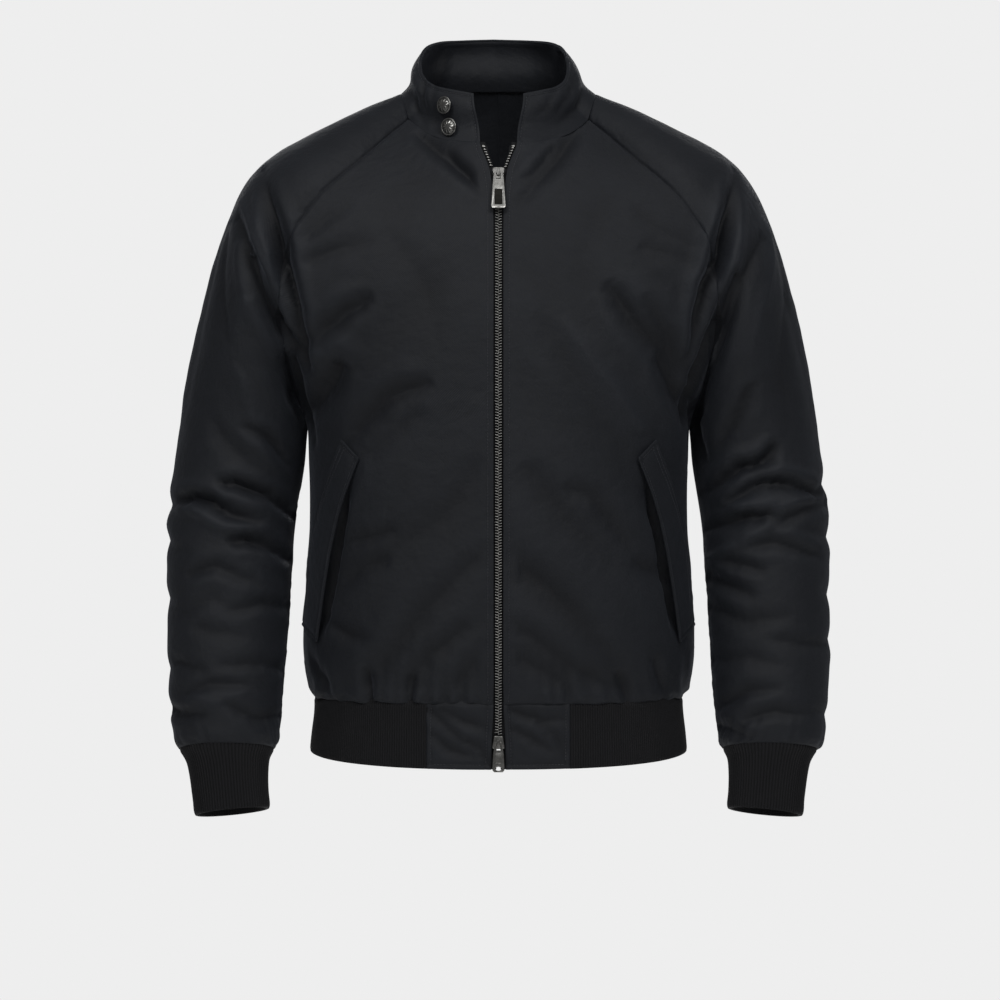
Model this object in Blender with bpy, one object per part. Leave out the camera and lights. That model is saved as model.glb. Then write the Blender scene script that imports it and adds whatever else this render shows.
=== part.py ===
"""Harrington jacket, worn shape with no wearer: raglan sleeves, stand collar, two-way zip, rib trims.

The origin is the centre of the neck opening, +Z up, the front faces -Y and the wearer's left is +X.
The woven body, both sleeves, the collar, the waistband, the cuffs and the pocket flaps are thin
walls through sections.  The left half is worked out and the right half is its mirror image.
"""
import math
from collections import namedtuple

import bmesh
import bpy
from mathutils import Matrix, Vector

# ---- driving dimensions, metres -------------------------------------------------------------
WOVEN_WALL = 0.0022          # shell cloth with its lining
RIB_WALL = 0.003             # knitted rib, folded double
TAPE_WALL = 0.001            # zip tape
SEAM_GAP = 0.0003            # clearance between two sewn pieces
LAY_GAP = 0.0006             # clearance under a piece that lies on a panel

BAND_SEAM_Z = -0.597         # where the body meets the waistband
HEM_SIDE_Z = -0.648
HEM_DROP = 0.0115            # the hem hangs this much lower at the centre front
WAIST_PANEL_EDGE = 0.0695    # half the width of the plain front of the waistband
UNDERARM_Z = -0.325

FRONT_COLUMNS = 9
SLEEVE_COLUMNS = 9           # on each of the front and back halves of a sleeve
BODY_ROWS = 8                # between the waistband and the underarm
COLLAR_ROWS = 3
BAND_ROWS = 3

CHAIN_HALF = 0.0033
TAPE_WIDTH = 0.016
TAPE_SHOWS = 0.0048          # width of tape between the front edge and the middle of the zip
TOP_TEETH_Z = -0.0535
TEETH_CLEAR = 0.0016         # between the top teeth and the edge of the cloth
TOP_SLIDER_Z = -0.084
BOTTOM_SLIDER_Z = -0.633
SLIDER_FACE = 0.0035         # how far a slider stands in front of the cloth
SLIDER_BACK = 0.0018         # how far it reaches behind the cloth's face
PIVOT_OUT = 0.0011           # pull axis in front of the slider's face
PULL_THICK = 0.0015
BUTTON_R = 0.0088
BUTTON_TURN = math.radians(12)   # the buttons droop on their shanks, turned this far to the side

# ---- section tables -------------------------------------------------------------------------
# Level sections of the body and of the waistband below it: half width, depth in front of and
# behind the side seam, and how square the section is (2 is an ellipse).
Level = namedtuple("Level", "z half_width front back square")
LEVELS = [
    Level(-0.661, 0.1878, 0.1365, 0.1205, 2.35),
    Level(-0.648, 0.1876, 0.1368, 0.1205, 2.35),
    Level(-0.630, 0.1860, 0.1372, 0.1205, 2.35),
    Level(-0.610, 0.1836, 0.1378, 0.1205, 2.35),
    Level(-0.597, 0.1835, 0.1390, 0.1225, 2.35),
    Level(-0.588, 0.1870, 0.1412, 0.1260, 2.35),
    Level(-0.570, 0.1932, 0.1448, 0.1300, 2.35),
    Level(-0.545, 0.1950, 0.1468, 0.1315, 2.35),
    Level(-0.510, 0.1943, 0.1472, 0.1300, 2.35),
    Level(-0.470, 0.1914, 0.1470, 0.1275, 2.35),
    Level(-0.430, 0.1886, 0.1470, 0.1262, 2.35),
    Level(-0.390, 0.1882, 0.1468, 0.1265, 2.35),
    Level(-0.360, 0.1893, 0.1462, 0.1282, 2.35),
    Level(-0.325, 0.1905, 0.1452, 0.1305, 2.32),
    Level(-0.260, 0.2000, 0.1425, 0.1338, 2.25),
    Level(-0.206, 0.2000, 0.1370, 0.1350, 2.20),
    Level(-0.152, 0.2000, 0.1265, 0.1318, 2.15),
    Level(-0.098, 0.2000, 0.1105, 0.1222, 2.10),
    Level(-0.049, 0.2000, 0.0880, 0.1075, 2.10),
    Level(-0.012, 0.2000, 0.0700, 0.0915, 2.10),
    Level(0.018, 0.2000, 0.0600, 0.0700, 2.10),
]

# Sections over the shoulder, neck first, underarm last.  Each runs from the front raglan seam over
# the shoulder line to the back raglan seam.  front_row and back_row are the heights at which the
# body rows that end on these seams start at the centre.  open_angle is where on its ring the
# section starts: 90 is the foremost point, 0 the inmost.
Cap = namedtuple("Cap", "front_x front_z top_x top_z back_x back_z front_deep back_deep"
                        " open_angle front_row back_row")
CAPS = [
    Cap(0.0884, -0.0230, 0.0970, 0.0060, 0.0600, 0.0150, 0.043, 0.062, 90, -0.049, 0.018),
    Cap(0.1142, -0.0470, 0.1310, -0.0075, 0.0900, -0.0200, 0.066, 0.080, 90, -0.074, -0.012),
    Cap(0.1330, -0.0655, 0.1580, -0.0200, 0.1140, -0.0520, 0.083, 0.091, 90, -0.100, -0.042),
    Cap(0.1570, -0.0865, 0.1900, -0.0360, 0.1380, -0.0860, 0.097, 0.100, 90, -0.127, -0.074),
    Cap(0.1765, -0.1065, 0.2175, -0.0510, 0.1570, -0.1190, 0.105, 0.107, 90, -0.154, -0.106),
    Cap(0.1950, -0.1330, 0.2410, -0.0700, 0.1715, -0.1510, 0.108, 0.111, 90, -0.181, -0.138),
    Cap(0.2060, -0.1570, 0.2560, -0.0910, 0.1820, -0.1820, 0.106, 0.112, 88, -0.207, -0.170),
    Cap(0.2120, -0.1880, 0.2670, -0.1150, 0.1895, -0.2120, 0.103, 0.110, 78, -0.233, -0.202),
    Cap(0.2130, -0.2230, 0.2775, -0.1430, 0.1940, -0.2420, 0.099, 0.106, 62, -0.258, -0.234),
    Cap(0.2085, -0.2610, 0.2870, -0.1730, 0.1958, -0.2720, 0.094, 0.101, 44, -0.282, -0.266),
    Cap(0.2000, -0.2970, 0.2955, -0.2040, 0.1945, -0.3010, 0.089, 0.095, 22, -0.305, -0.297),
    Cap(0.1905, -0.3250, 0.3030, -0.2350, 0.1905, -0.3250, 0.085, 0.088, 0, -0.325, -0.325),
]

# Rings of the sleeve below the underarm: its inner and outer sides as seen from the front, the
# middle and half depth, and lean, by which a ring's front stands higher than its back.
Ring = namedtuple("Ring", "inner_x inner_z outer_x outer_z middle_y half_deep lean")
RINGS = [
    Ring(0.1922, -0.3420, 0.3095, -0.2660, 0.002, 0.0805, 0.00),
    Ring(0.1938, -0.3630, 0.3155, -0.3020, 0.003, 0.0770, 0.01),
    Ring(0.1978, -0.3890, 0.3200, -0.3400, 0.002, 0.0735, 0.02),
    Ring(0.2025, -0.4190, 0.3255, -0.3810, -0.001, 0.0700, 0.04),
    Ring(0.2055, -0.4520, 0.3296, -0.4230, -0.007, 0.0662, 0.07),
    Ring(0.2073, -0.4860, 0.3296, -0.4650, -0.014, 0.0628, 0.10),
    Ring(0.2087, -0.5200, 0.3292, -0.5070, -0.021, 0.0598, 0.13),
    Ring(0.2110, -0.5550, 0.3284, -0.5480, -0.029, 0.0568, 0.15),
    Ring(0.2130, -0.5860, 0.3264, -0.5840, -0.036, 0.0540, 0.17),
    Ring(0.2150, -0.6120, 0.3238, -0.6130, -0.042, 0.0515, 0.18),
    Ring(0.2172, -0.6320, 0.3203, -0.6340, -0.046, 0.0488, 0.19),
    Ring(0.2210, -0.6450, 0.3152, -0.6465, -0.048, 0.0455, 0.20),
]
CUFF = [
    Ring(0.2218, -0.6455, 0.3144, -0.6470, -0.0480, 0.0447, 0.20),
    Ring(0.2248, -0.6505, 0.3105, -0.6525, -0.0490, 0.0420, 0.19),
    Ring(0.2268, -0.6570, 0.3068, -0.6600, -0.0500, 0.0392, 0.18),
    Ring(0.2272, -0.6700, 0.3038, -0.6740, -0.0515, 0.0368, 0.17),
    Ring(0.2268, -0.6870, 0.3010, -0.6930, -0.0530, 0.0358, 0.17),
    Ring(0.2262, -0.7035, 0.2985, -0.7110, -0.0545, 0.0352, 0.17),
]

# Half the gap between the two front edges, closed on the zip and open at the neck.
Edge = namedtuple("Edge", "z half_gap")
FRONT_EDGE = [
    Edge(-0.661, 0.0070), Edge(-0.640, 0.0068), Edge(-0.620, 0.0060), Edge(-0.600, 0.0050),
    Edge(-0.300, 0.0050), Edge(-0.108, 0.0052), Edge(-0.092, 0.0068), Edge(-0.078, 0.0090),
    Edge(-0.067, 0.0128), Edge(-0.055, 0.0172), Edge(-0.045, 0.0185),
]

# Upper edge of the collar from its front corner round to the centre back.
Point = namedtuple("Point", "x y z")
COLLAR_TOP = [
    Point(0.0245, -0.0780, -0.0020), Point(0.0420, -0.0735, 0.0015), Point(0.0585, -0.0625, 0.0065),
    Point(0.0690, -0.0460, 0.0165), Point(0.0735, -0.0200, 0.0355), Point(0.0690, 0.0100, 0.0535),
    Point(0.0560, 0.0370, 0.0625), Point(0.0330, 0.0550, 0.0665), Point(0.0000, 0.0610, 0.0680),
]
COLLAR_SWAY = -0.005         # the worn collar leans this far to the wearer's right at its edge
COLLAR_HOLLOW = 0.0028       # the collar springs in above its seam and out again below its edge

# Pocket flap, from its upper end to its lower end: the free edge nearer the zip, the sewn edge
# nearer the side, and how far the free edge stands off the body.
Welt = namedtuple("Welt", "free_x free_z sewn_x sewn_z lift")
FLAP = [
    Welt(0.1337, -0.3596, 0.1516, -0.3412, 0.0008),
    Welt(0.1487, -0.4045, 0.1690, -0.3860, 0.0034),
    Welt(0.1590, -0.4495, 0.1815, -0.4310, 0.0038),
    Welt(0.1675, -0.4945, 0.1865, -0.4770, 0.0024),
    Welt(0.1757, -0.5395, 0.1920, -0.5240, 0.0006),
]
FLAP_ROWS = 9
FLAP_COLUMNS = 4


# ---- curves and sections --------------------------------------------------------------------
def follow(places, values, place):
    """A smooth curve through values given at rising places."""
    last = len(places) - 1
    place = min(max(place, places[0]), places[last])
    i = 0
    while i < last - 1 and place > places[i + 1]:
        i += 1

    def slope(k):
        low, high = max(k - 1, 0), min(k + 1, last)
        return (values[high] - values[low]) / (places[high] - places[low])

    span = places[i + 1] - places[i]
    s = (place - places[i]) / span
    start = (2 * s ** 3 - 3 * s ** 2 + 1) * values[i] + (s ** 3 - 2 * s ** 2 + s) * span * slope(i)
    return start + (3 * s ** 2 - 2 * s ** 3) * values[i + 1] + (s ** 3 - s ** 2) * span * slope(i + 1)


def column_at(table, column, place, along=None):
    """A column of a table, by row number or along another column."""
    places = list(range(len(table))) if along is None else [getattr(row, along) for row in table]
    return follow(places, [getattr(row, column) for row in table], place)


def level(column, z):
    return column_at(LEVELS, column, z, along="z")


def front_gap(z):
    return column_at(FRONT_EDGE, "half_gap", z, along="z")


def section_row(middle_z, end, side, start_x, columns, rise):
    """Points from start_x near the centre line to end, on a level superellipse quarter.

    side is -1 for the front and 1 for the back; rise is the power by which a row climbs to its end.
    """
    square = level("square", middle_z)
    deep = level("front" if side < 0 else "back", middle_z)
    share = max(0.0, 1 - (abs(end.y) / deep) ** square) ** (1 / square)
    wide = end.x / share
    first = math.asin(min(1.0, (start_x / wide) ** (square / 2)))
    last = math.asin(min(1.0, share ** (square / 2)))
    row = []
    for i in range(columns + 1):
        angle = first + (last - first) * i / columns
        x = wide * math.sin(angle) ** (2 / square)
        y = side * deep * max(0.0, math.cos(angle)) ** (2 / square)
        z = middle_z + (end.z - middle_z) * (x / end.x) ** rise
        row.append(Vector((x, y, z)))
    row[-1] = end.copy()
    return row


def cap_row(place):
    """One section over the shoulder, from the front seam over the top to the back seam."""
    cap = Cap(*(column_at(CAPS, name, place) for name in Cap._fields))
    start = math.radians(max(cap.open_angle, 0.0))
    top = Vector((cap.top_x, 0.0, cap.top_z))
    row = []
    for side, x, z, deep in ((-1, cap.front_x, cap.front_z, cap.front_deep),
                             (1, cap.back_x, cap.back_z, cap.back_deep)):
        centre = (Vector((x, 0.0, z)) + top * math.cos(start)) / (1 + math.cos(start))
        half = []
        for i in range(SLEEVE_COLUMNS + 1):
            angle = start + (math.pi - start) * i / SLEEVE_COLUMNS
            point = centre + (centre - top) * math.cos(angle)
            point.y = side * deep * math.sin(angle)
            half.append(point)
        half[-1] = top.copy()
        row += half if side < 0 else half[-2::-1]
    return row


def ring_row(ring, columns=2 * SLEEVE_COLUMNS):
    """A closed ring of a sleeve or cuff; its first and last points are the same."""
    inner = Vector((ring.inner_x, ring.middle_y, ring.inner_z))
    outer = Vector((ring.outer_x, ring.middle_y, ring.outer_z))
    centre = (inner + outer) / 2
    row = []
    for i in range(columns):
        angle = 2 * math.pi * i / columns
        point = centre + (inner - centre) * math.cos(angle)
        forward = ring.half_deep * math.sin(angle)
        point.y -= forward
        point.z += forward * ring.lean
        row.append(point)
    return row + [row[0].copy()]


def body_rows(side):
    """Rows of half the front (side -1) or half the back (side 1), waistband first, neck last."""
    rows = []
    for i in range(BODY_ROWS):
        z = BAND_SEAM_Z + (UNDERARM_Z - BAND_SEAM_Z) * (i / BODY_ROWS) ** 1.15
        end = Vector((level("half_width", z), 0.0, z))
        start_x = front_gap(z) if side < 0 else 0.0
        rows.append(section_row(z, end, side, start_x, FRONT_COLUMNS, 2.0))
    for place in range(len(CAPS) - 1, -1, -1):
        cap, arc = CAPS[place], cap_row(place)
        z = cap.front_row if side < 0 else cap.back_row
        end = arc[0] if side < 0 else arc[-1]
        start_x = front_gap(z) if side < 0 else 0.0
        rise = 2.0 + 2.0 * max(0.0, 1 - place / 3)
        rows.append(section_row(z, end, side, start_x, FRONT_COLUMNS, rise))
    return rows


def sleeve_rows():
    rows = [ring_row(ring) for ring in reversed(RINGS)]
    return rows + [cap_row(place) for place in range(len(CAPS) - 1, -1, -1)]


def collar_rows(front_row, arc, back_row):
    """Rows of half the collar, from its seam on the body up to its free edge."""
    seam = front_row + arc[1:] + back_row[-2::-1]
    steps = [0.0]
    for a, b in zip(seam, seam[1:]):
        steps.append(steps[-1] + (b - a).length)
    rows = []
    for r in range(COLLAR_ROWS + 1):
        height = r / COLLAR_ROWS
        row = []
        for point, run in zip(seam, steps):
            place = run / steps[-1] * (len(COLLAR_TOP) - 1)
            top = Vector([column_at(COLLAR_TOP, axis, place) for axis in "xyz"])
            here = point.lerp(top, height)
            out = Vector((here.x, here.y, 0.0)).normalized()
            row.append(here - out * COLLAR_HOLLOW * math.sin(2 * math.pi * height))
        rows.append(row)
    return rows


def band_row(share, side, first_angle, last_angle, columns):
    """Part of a ring of the waistband, share 0 at its seam and 1 at the hem."""
    row = []
    for i in range(columns + 1):
        angle = first_angle + (last_angle - first_angle) * i / columns
        drop = HEM_DROP * max(0.0, math.cos(angle)) if side < 0 else 0.0
        z = BAND_SEAM_Z + (HEM_SIDE_Z - drop - BAND_SEAM_Z) * share
        deep, square = level("front" if side < 0 else "back", z), level("square", z)
        x = level("half_width", z) * math.sin(angle) ** (2 / square)
        row.append(Vector((x, side * deep * max(0.0, math.cos(angle)) ** (2 / square), z)))
    return row


def section_angle(x, z):
    square = level("square", z)
    return math.asin(min(1.0, (x / level("half_width", z)) ** (square / 2)))


def on_front(x, z, out=0.0):
    """A point of the body front below the underarm, moved out along its normal."""
    def place(x, z):
        square, wide, deep = level("square", z), level("half_width", z), level("front", z)
        return Vector((x, -deep * max(0.0, 1 - (x / wide) ** square) ** (1 / square), z))
    here, step = place(x, z), 0.0004
    normal = (place(x + step, z) - place(x - step, z)).cross(place(x, z + step) - place(x, z - step))
    return here + normal.normalized() * out


def mirrored(rows):
    return [[Vector((-p.x, p.y, p.z)) for p in reversed(row)] for row in rows]


# ---- walls ----------------------------------------------------------------------------------
def key(point):
    return tuple(round(value * 1e6) for value in point)


def quads(rows):
    for low, high in zip(rows, rows[1:]):
        for i in range(len(low) - 1):
            yield low[i], low[i + 1], high[i + 1], high[i]


def shared_normals(*grids):
    """Outward directions at the points of pieces that are sewn to each other."""
    total = {}
    for rows in grids:
        for a, b, c, d in quads(rows):
            normal = (c - a).cross(d - b)
            for corner in (a, b, c, d):
                total[key(corner)] = total.get(key(corner), Vector()) + normal
    return {place: normal.normalized() for place, normal in total.items()}


def wall(name, rows, thickness, normals, material):
    """A closed wall whose outer face runs through rows, kept half a seam gap inside its edges."""
    outer, faces, inward = {}, [], {}
    for corners in quads(rows):
        centre = sum(corners, Vector()) / 4
        face = []
        for corner in corners:
            place = key(corner)
            outer.setdefault(place, corner)
            inward[place] = inward.get(place, Vector()) + (centre - corner)
            if place not in face:
                face.append(place)
        faces.append(face)
    sides = {(face[i], face[(i + 1) % len(face)]) for face in faces for i in range(len(face))}
    open_sides = [(a, b) for a, b in sides if (b, a) not in sides]
    rim = {a for a, b in open_sides} | {b for a, b in open_sides}

    bm = bmesh.new()
    front, back = {}, {}
    for place, point in outer.items():
        shift = inward[place].normalized() * SEAM_GAP / 2 if place in rim else Vector()
        front[place] = bm.verts.new(point + shift)
        back[place] = bm.verts.new(point + shift - normals[place] * thickness)
    for face in faces:
        bm.faces.new([front[place] for place in face])
        bm.faces.new([back[place] for place in reversed(face)])
    for a, b in sorted(open_sides):
        bm.faces.new([front[b], front[a], back[a], back[b]])
    return finish(name, bm, material)


def finish(name, bm, material, matrix=None):
    bmesh.ops.recalc_face_normals(bm, faces=bm.faces)
    mesh = bpy.data.meshes.new(name)
    bm.to_mesh(mesh)
    bm.free()
    mesh.shade_smooth()
    mesh.set_sharp_from_angle(angle=math.radians(50))
    made = bpy.data.objects.new(name, mesh)
    made.data.materials.append(material)
    if matrix is not None:
        made.matrix_world = matrix
    jacket.objects.link(made)
    return made


def material(name, colour, roughness, metallic=0.0):
    made = bpy.data.materials.new(name)
    made.use_nodes = True
    shader = made.node_tree.nodes["Principled BSDF"]
    shader.inputs["Base Color"].default_value = (*colour, 1.0)
    shader.inputs["Roughness"].default_value = roughness
    shader.inputs["Metallic"].default_value = metallic
    return made


# ---- metal pieces ---------------------------------------------------------------------------
def box(bm, size, centre):
    bmesh.ops.create_cube(bm, size=1.0, matrix=Matrix.Translation(centre) @ Matrix.Diagonal((*size, 1.0)))


def plate(name, outline, low, high, material, matrix):
    """A flat outline in X and Z, from low to high along the outward axis -Y."""
    bm = bmesh.new()
    corners = [bm.verts.new((x, -low, z)) for x, z in outline]
    face = bm.faces.new(corners)
    grown = bmesh.ops.extrude_face_region(bm, geom=[face])
    moved = [item for item in grown["geom"] if isinstance(item, bmesh.types.BMVert)]
    bmesh.ops.translate(bm, verts=moved, vec=(0.0, low - high, 0.0))
    return finish(name, bm, material, matrix)


def boolean(target, operation, name, bm):
    """Cuts a shape out of target, or joins it on, in target's own axes."""
    mesh = bpy.data.meshes.new(name)
    bmesh.ops.recalc_face_normals(bm, faces=bm.faces)
    bm.to_mesh(mesh)
    bm.free()
    tool = bpy.data.objects.new(name, mesh)
    tool.matrix_world = target.matrix_world
    tool.hide_render = True
    tool.display_type = "WIRE"
    cutters.objects.link(tool)
    modifier = target.modifiers.new(name, "BOOLEAN")
    modifier.operation = operation
    modifier.object = tool
    modifier.solver = "EXACT"


def both_sides(half):
    """A closed outline from the right half of it, top to bottom."""
    return half + [(-x, z) for x, z in reversed(half)]


def zip_frame(z):
    """Axes on the zip at a height: X across, Z up along the zip, -Y out of the cloth."""
    here = Vector((0.0, -level("front", z), z))
    step = 0.006
    up = Vector((0.0, level("front", z - step) - level("front", z + step), 2 * step)).normalized()
    back = up.cross(Vector((1.0, 0.0, 0.0)))
    axes = Matrix((Vector((1.0, 0.0, 0.0)), back, up)).transposed().to_4x4()
    return Matrix.Translation(here) @ axes


def slider(name, z, upside, metal):
    """Slider body and the bridge on its face.  upside is -1 for the lower one, which points down."""
    half = [(0.0022, 0.0064), (0.0058, 0.0054), (0.0054, 0.0010), (0.0043, -0.0026), (0.0043, -0.0060)]
    outline = both_sides([(x, upside * zz) for x, zz in half])
    body = plate(name, outline, -SLIDER_BACK, SLIDER_FACE, metal, zip_frame(z))
    bridge = bmesh.new()
    box(bridge, (0.0026, 0.0010, 0.0070), (0.0, -SLIDER_FACE - 0.0027, 0.0))
    body_join = [bridge]
    for end in (-1, 1):
        leg = bmesh.new()
        box(leg, (0.0026, 0.0034, 0.0012), (0.0, -SLIDER_FACE - 0.0015, end * 0.0029))
        body_join.append(leg)
    for i, bm in enumerate(body_join):
        boolean(body, "UNION", f"{name}_bridge_{i}", bm)
    return body


def pull(name, z, half, hole_z, hole_half, metal):
    """A pull tab hanging on its slider's bridge; its origin is on the hinge axis."""
    axis = zip_frame(z) @ Matrix.Translation((0.0, -SLIDER_FACE - PIVOT_OUT, 0.0))
    tab = plate(name, both_sides(half), -PULL_THICK / 2, PULL_THICK / 2, metal, axis)
    loop = bmesh.new()
    box(loop, (0.0037, 0.004, 0.0052), (0.0, 0.0, -0.00065 - 0.0026))
    boolean(tab, "DIFFERENCE", f"{name}_loop", loop)
    if hole_half:
        eye = bmesh.new()
        box(eye, (2 * hole_half, 0.004, hole_half), (0.0, 0.0, hole_z))
        boolean(tab, "DIFFERENCE", f"{name}_eye", eye)
    return tab


def collar_button(name, rows, run, height, metal):
    """A domed shank button standing on the collar's right front."""
    place = height * (len(rows) - 1)
    low = min(int(place), len(rows) - 2)
    share = place - low

    def on_collar(index):
        return rows[low][index].lerp(rows[low + 1][index], share)

    in_front = [i for i in range(1, len(rows[0]) - 1) if on_collar(i).y < 0]
    first = min(in_front, key=lambda i: abs(on_collar(i).x - run))
    beyond = first + (1 if (on_collar(first + 1).x - on_collar(first).x) * (run - on_collar(first).x) > 0 else -1)
    span = on_collar(beyond).x - on_collar(first).x
    here = on_collar(first).lerp(on_collar(beyond), (run - on_collar(first).x) / span)
    along = on_collar(first + 1) - on_collar(first - 1)
    upward = rows[low + 1][first] - rows[low][first]
    out = along.cross(upward).normalized()
    out = Matrix.Rotation(-BUTTON_TURN, 3, "Z") @ out
    out = Vector((out.x, out.y, 0.0)).normalized()
    profile = [(0.0026, 0.0012), (0.0026, 0.0036), (BUTTON_R, 0.0038), (BUTTON_R, 0.0048),
               (BUTTON_R * 0.8, 0.0060), (BUTTON_R * 0.4, 0.0068)]
    bm = bmesh.new()
    turns = 20
    loops = []
    for radius, rise in profile:
        loops.append([bm.verts.new((radius * math.cos(2 * math.pi * k / turns),
                                    radius * math.sin(2 * math.pi * k / turns), rise))
                      for k in range(turns)])
    for a, b in zip(loops, loops[1:]):
        for k in range(turns):
            bm.faces.new((a[k], a[(k + 1) % turns], b[(k + 1) % turns], b[k]))
    bm.faces.new(loops[0])
    bm.faces.new(loops[-1])
    return finish(name, bm, metal, Matrix.Translation(here) @ out.to_track_quat("Z", "Y").to_matrix().to_4x4())


# ---- build ----------------------------------------------------------------------------------
for old in list(bpy.data.objects):
    bpy.data.objects.remove(old)
jacket = bpy.data.collections.new("harrington_jacket")
cutters = bpy.data.collections.new("cutters")
bpy.context.scene.collection.children.link(jacket)
bpy.context.scene.collection.children.link(cutters)

shell_cloth = material("brushed_cotton_twill", (0.018, 0.019, 0.022), 0.8)
rib_knit = material("rib_knit", (0.012, 0.012, 0.013), 0.9)
tape_weave = material("zip_tape", (0.010, 0.010, 0.011), 0.9)
aged_silver = material("aged_silver", (0.30, 0.29, 0.27), 0.35, 1.0)

# Body and sleeves
front_left = body_rows(-1)
back_half = body_rows(1)
sleeve_left = sleeve_rows()
front_right, sleeve_right = mirrored(front_left), mirrored(sleeve_left)
back_left = [list(reversed(row)) for row in back_half]
back = [left + right[1:] for left, right in zip(back_left, mirrored(back_left))]
sewn = shared_normals(front_left, front_right, back, sleeve_left, sleeve_right)
for name, rows in (("front_left", front_left), ("front_right", front_right), ("back", back),
                   ("sleeve_left", sleeve_left), ("sleeve_right", sleeve_right)):
    wall(name, rows, WOVEN_WALL, sewn, shell_cloth)

# Collar
collar_half = collar_rows(front_left[-1], sleeve_left[-1], back_half[-1])
collar_right = mirrored(collar_half)
collar = [left + right[1:] for left, right in zip(collar_half, collar_right)]
corner_y = COLLAR_TOP[0].y
for r, row in enumerate(collar):
    for point in row:
        behind = 1 - (min(point.y, 0.0) / corner_y) ** 2
        point.x += COLLAR_SWAY * r / COLLAR_ROWS * max(0.0, behind)
wall("collar", collar, RIB_WALL, shared_normals(collar), shell_cloth)

# Cuffs
for side in ("left", "right"):
    cuff = [ring_row(ring) for ring in reversed(CUFF)]
    if side == "right":
        cuff = mirrored(cuff)
    wall(f"rib_cuff_{side}", cuff, RIB_WALL, shared_normals(cuff), rib_knit)

# Waistband: plain panels beside the zip, rib from there round the back
panel_rows, rib_rows = [], []
for r in range(BAND_ROWS, -1, -1):
    share = r / BAND_ROWS
    z = BAND_SEAM_Z + (HEM_SIDE_Z - HEM_DROP - BAND_SEAM_Z) * share
    split = section_angle(WAIST_PANEL_EDGE, z)
    panel_rows.append(band_row(share, -1, section_angle(front_gap(z), z), split, 3))
    side_part = band_row(share, -1, split, math.pi / 2, 8)
    back_part = band_row(share, 1, math.pi / 2, 0.0, 9)
    left_part = side_part + back_part[1:]
    rib_rows.append(left_part + mirrored([left_part])[0][1:])
panel_mirror = mirrored(panel_rows)
band_normals = shared_normals(panel_rows, panel_mirror, rib_rows)
wall("waist_panel_left", panel_rows, WOVEN_WALL, band_normals, shell_cloth)
wall("waist_panel_right", panel_mirror, WOVEN_WALL, band_normals, shell_cloth)
wall("rib_waistband", rib_rows, RIB_WALL, band_normals, rib_knit)

# Pocket flaps
flap = []
for r in range(FLAP_ROWS, -1, -1):
    welt = Welt(*(column_at(FLAP, name, r / FLAP_ROWS * (len(FLAP) - 1)) for name in Welt._fields))
    row = []
    for c in range(FLAP_COLUMNS + 1):
        share = c / FLAP_COLUMNS
        x = welt.free_x + (welt.sewn_x - welt.free_x) * share
        z = welt.free_z + (welt.sewn_z - welt.free_z) * share
        row.append(on_front(x, z, LAY_GAP + WOVEN_WALL + welt.lift * (1 - share) ** 1.5))
    flap.append(row)
for side, rows in (("left", flap), ("right", mirrored(flap))):
    wall(f"pocket_flap_{side}", rows, WOVEN_WALL, shared_normals(rows), shell_cloth)


# Zip: the tapes lie against the inner faces of the fronts, the chain and the top teeth on the tapes
front_line = panel_rows[:-1] + front_left
line_normals = {**sewn, **band_normals}


def tape_rows():
    """Rows of the left tape, from the points of the left front moved in through its wall."""
    rows = []
    for panel in front_line:
        edge, beyond = panel[0], panel[1]
        share = (TAPE_WIDTH - TAPE_SHOWS) / (beyond.x - edge.x)
        inner = edge - Vector((TAPE_SHOWS, 0.0, 0.0))
        depth = WOVEN_WALL + LAY_GAP
        near, far = line_normals[key(edge)] * depth, line_normals[key(beyond)] * depth
        rows.append([inner - near, edge - near, (edge - near).lerp(beyond - far, share)])
    return rows


def zip_strip(name, low_z, high_z, sides, material):
    """An upright strip as thick as the cloth, just in front of the tapes; sides gives its edges."""
    heights = [low_z] + [row[0].z for row in front_line if low_z < row[0].z < high_z] + [high_z]
    strip = []
    for z in heights:
        above = next(i for i, row in enumerate(front_line) if row[0].z >= z)
        low, high = front_line[above - 1][0], front_line[above][0]
        y = low.y + (high.y - low.y) * (z - low.z) / (high.z - low.z)
        strip.append([Vector((x, y, z)) for x in sides(z)])
    wall(name, strip, WOVEN_WALL, shared_normals(strip), material)


def left_teeth(z):
    return front_gap(z) - TAPE_SHOWS + 0.0004, front_gap(z) - TEETH_CLEAR


def right_teeth(z):
    return TEETH_CLEAR - front_gap(z), TAPE_SHOWS - 0.0004 - front_gap(z)


tape = tape_rows()
for side, rows, teeth in (("left", tape, left_teeth), ("right", mirrored(tape), right_teeth)):
    wall(f"zip_tape_{side}", rows, TAPE_WALL, shared_normals(rows), tape_weave)
    zip_strip(f"zip_top_teeth_{side}", TOP_SLIDER_Z + 0.0075, TOP_TEETH_Z, teeth, aged_silver)
zip_strip("zip_chain", BOTTOM_SLIDER_Z + 0.0068, TOP_SLIDER_Z - 0.0064,
          lambda z: (-CHAIN_HALF, CHAIN_HALF), aged_silver)

slider("top_slider", TOP_SLIDER_Z, 1, aged_silver)
slider("bottom_slider", BOTTOM_SLIDER_Z, -1, aged_silver)
top_half = [(0.0024, 0.00065), (0.0040, -0.0002), (0.0050, -0.0060), (0.0053, -0.0100),
            (0.0069, -0.0375), (0.0058, -0.0395)]
bottom_half = [(0.0024, 0.00065), (0.0034, -0.0002), (0.0040, -0.0050), (0.0050, -0.0110),
               (0.0058, -0.0265), (0.0042, -0.0285)]
pull("top_pull", TOP_SLIDER_Z, top_half, 0.0, 0.0, aged_silver)
pull("bottom_pull", BOTTOM_SLIDER_Z, bottom_half, -0.0252, 0.0026, aged_silver)

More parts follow.
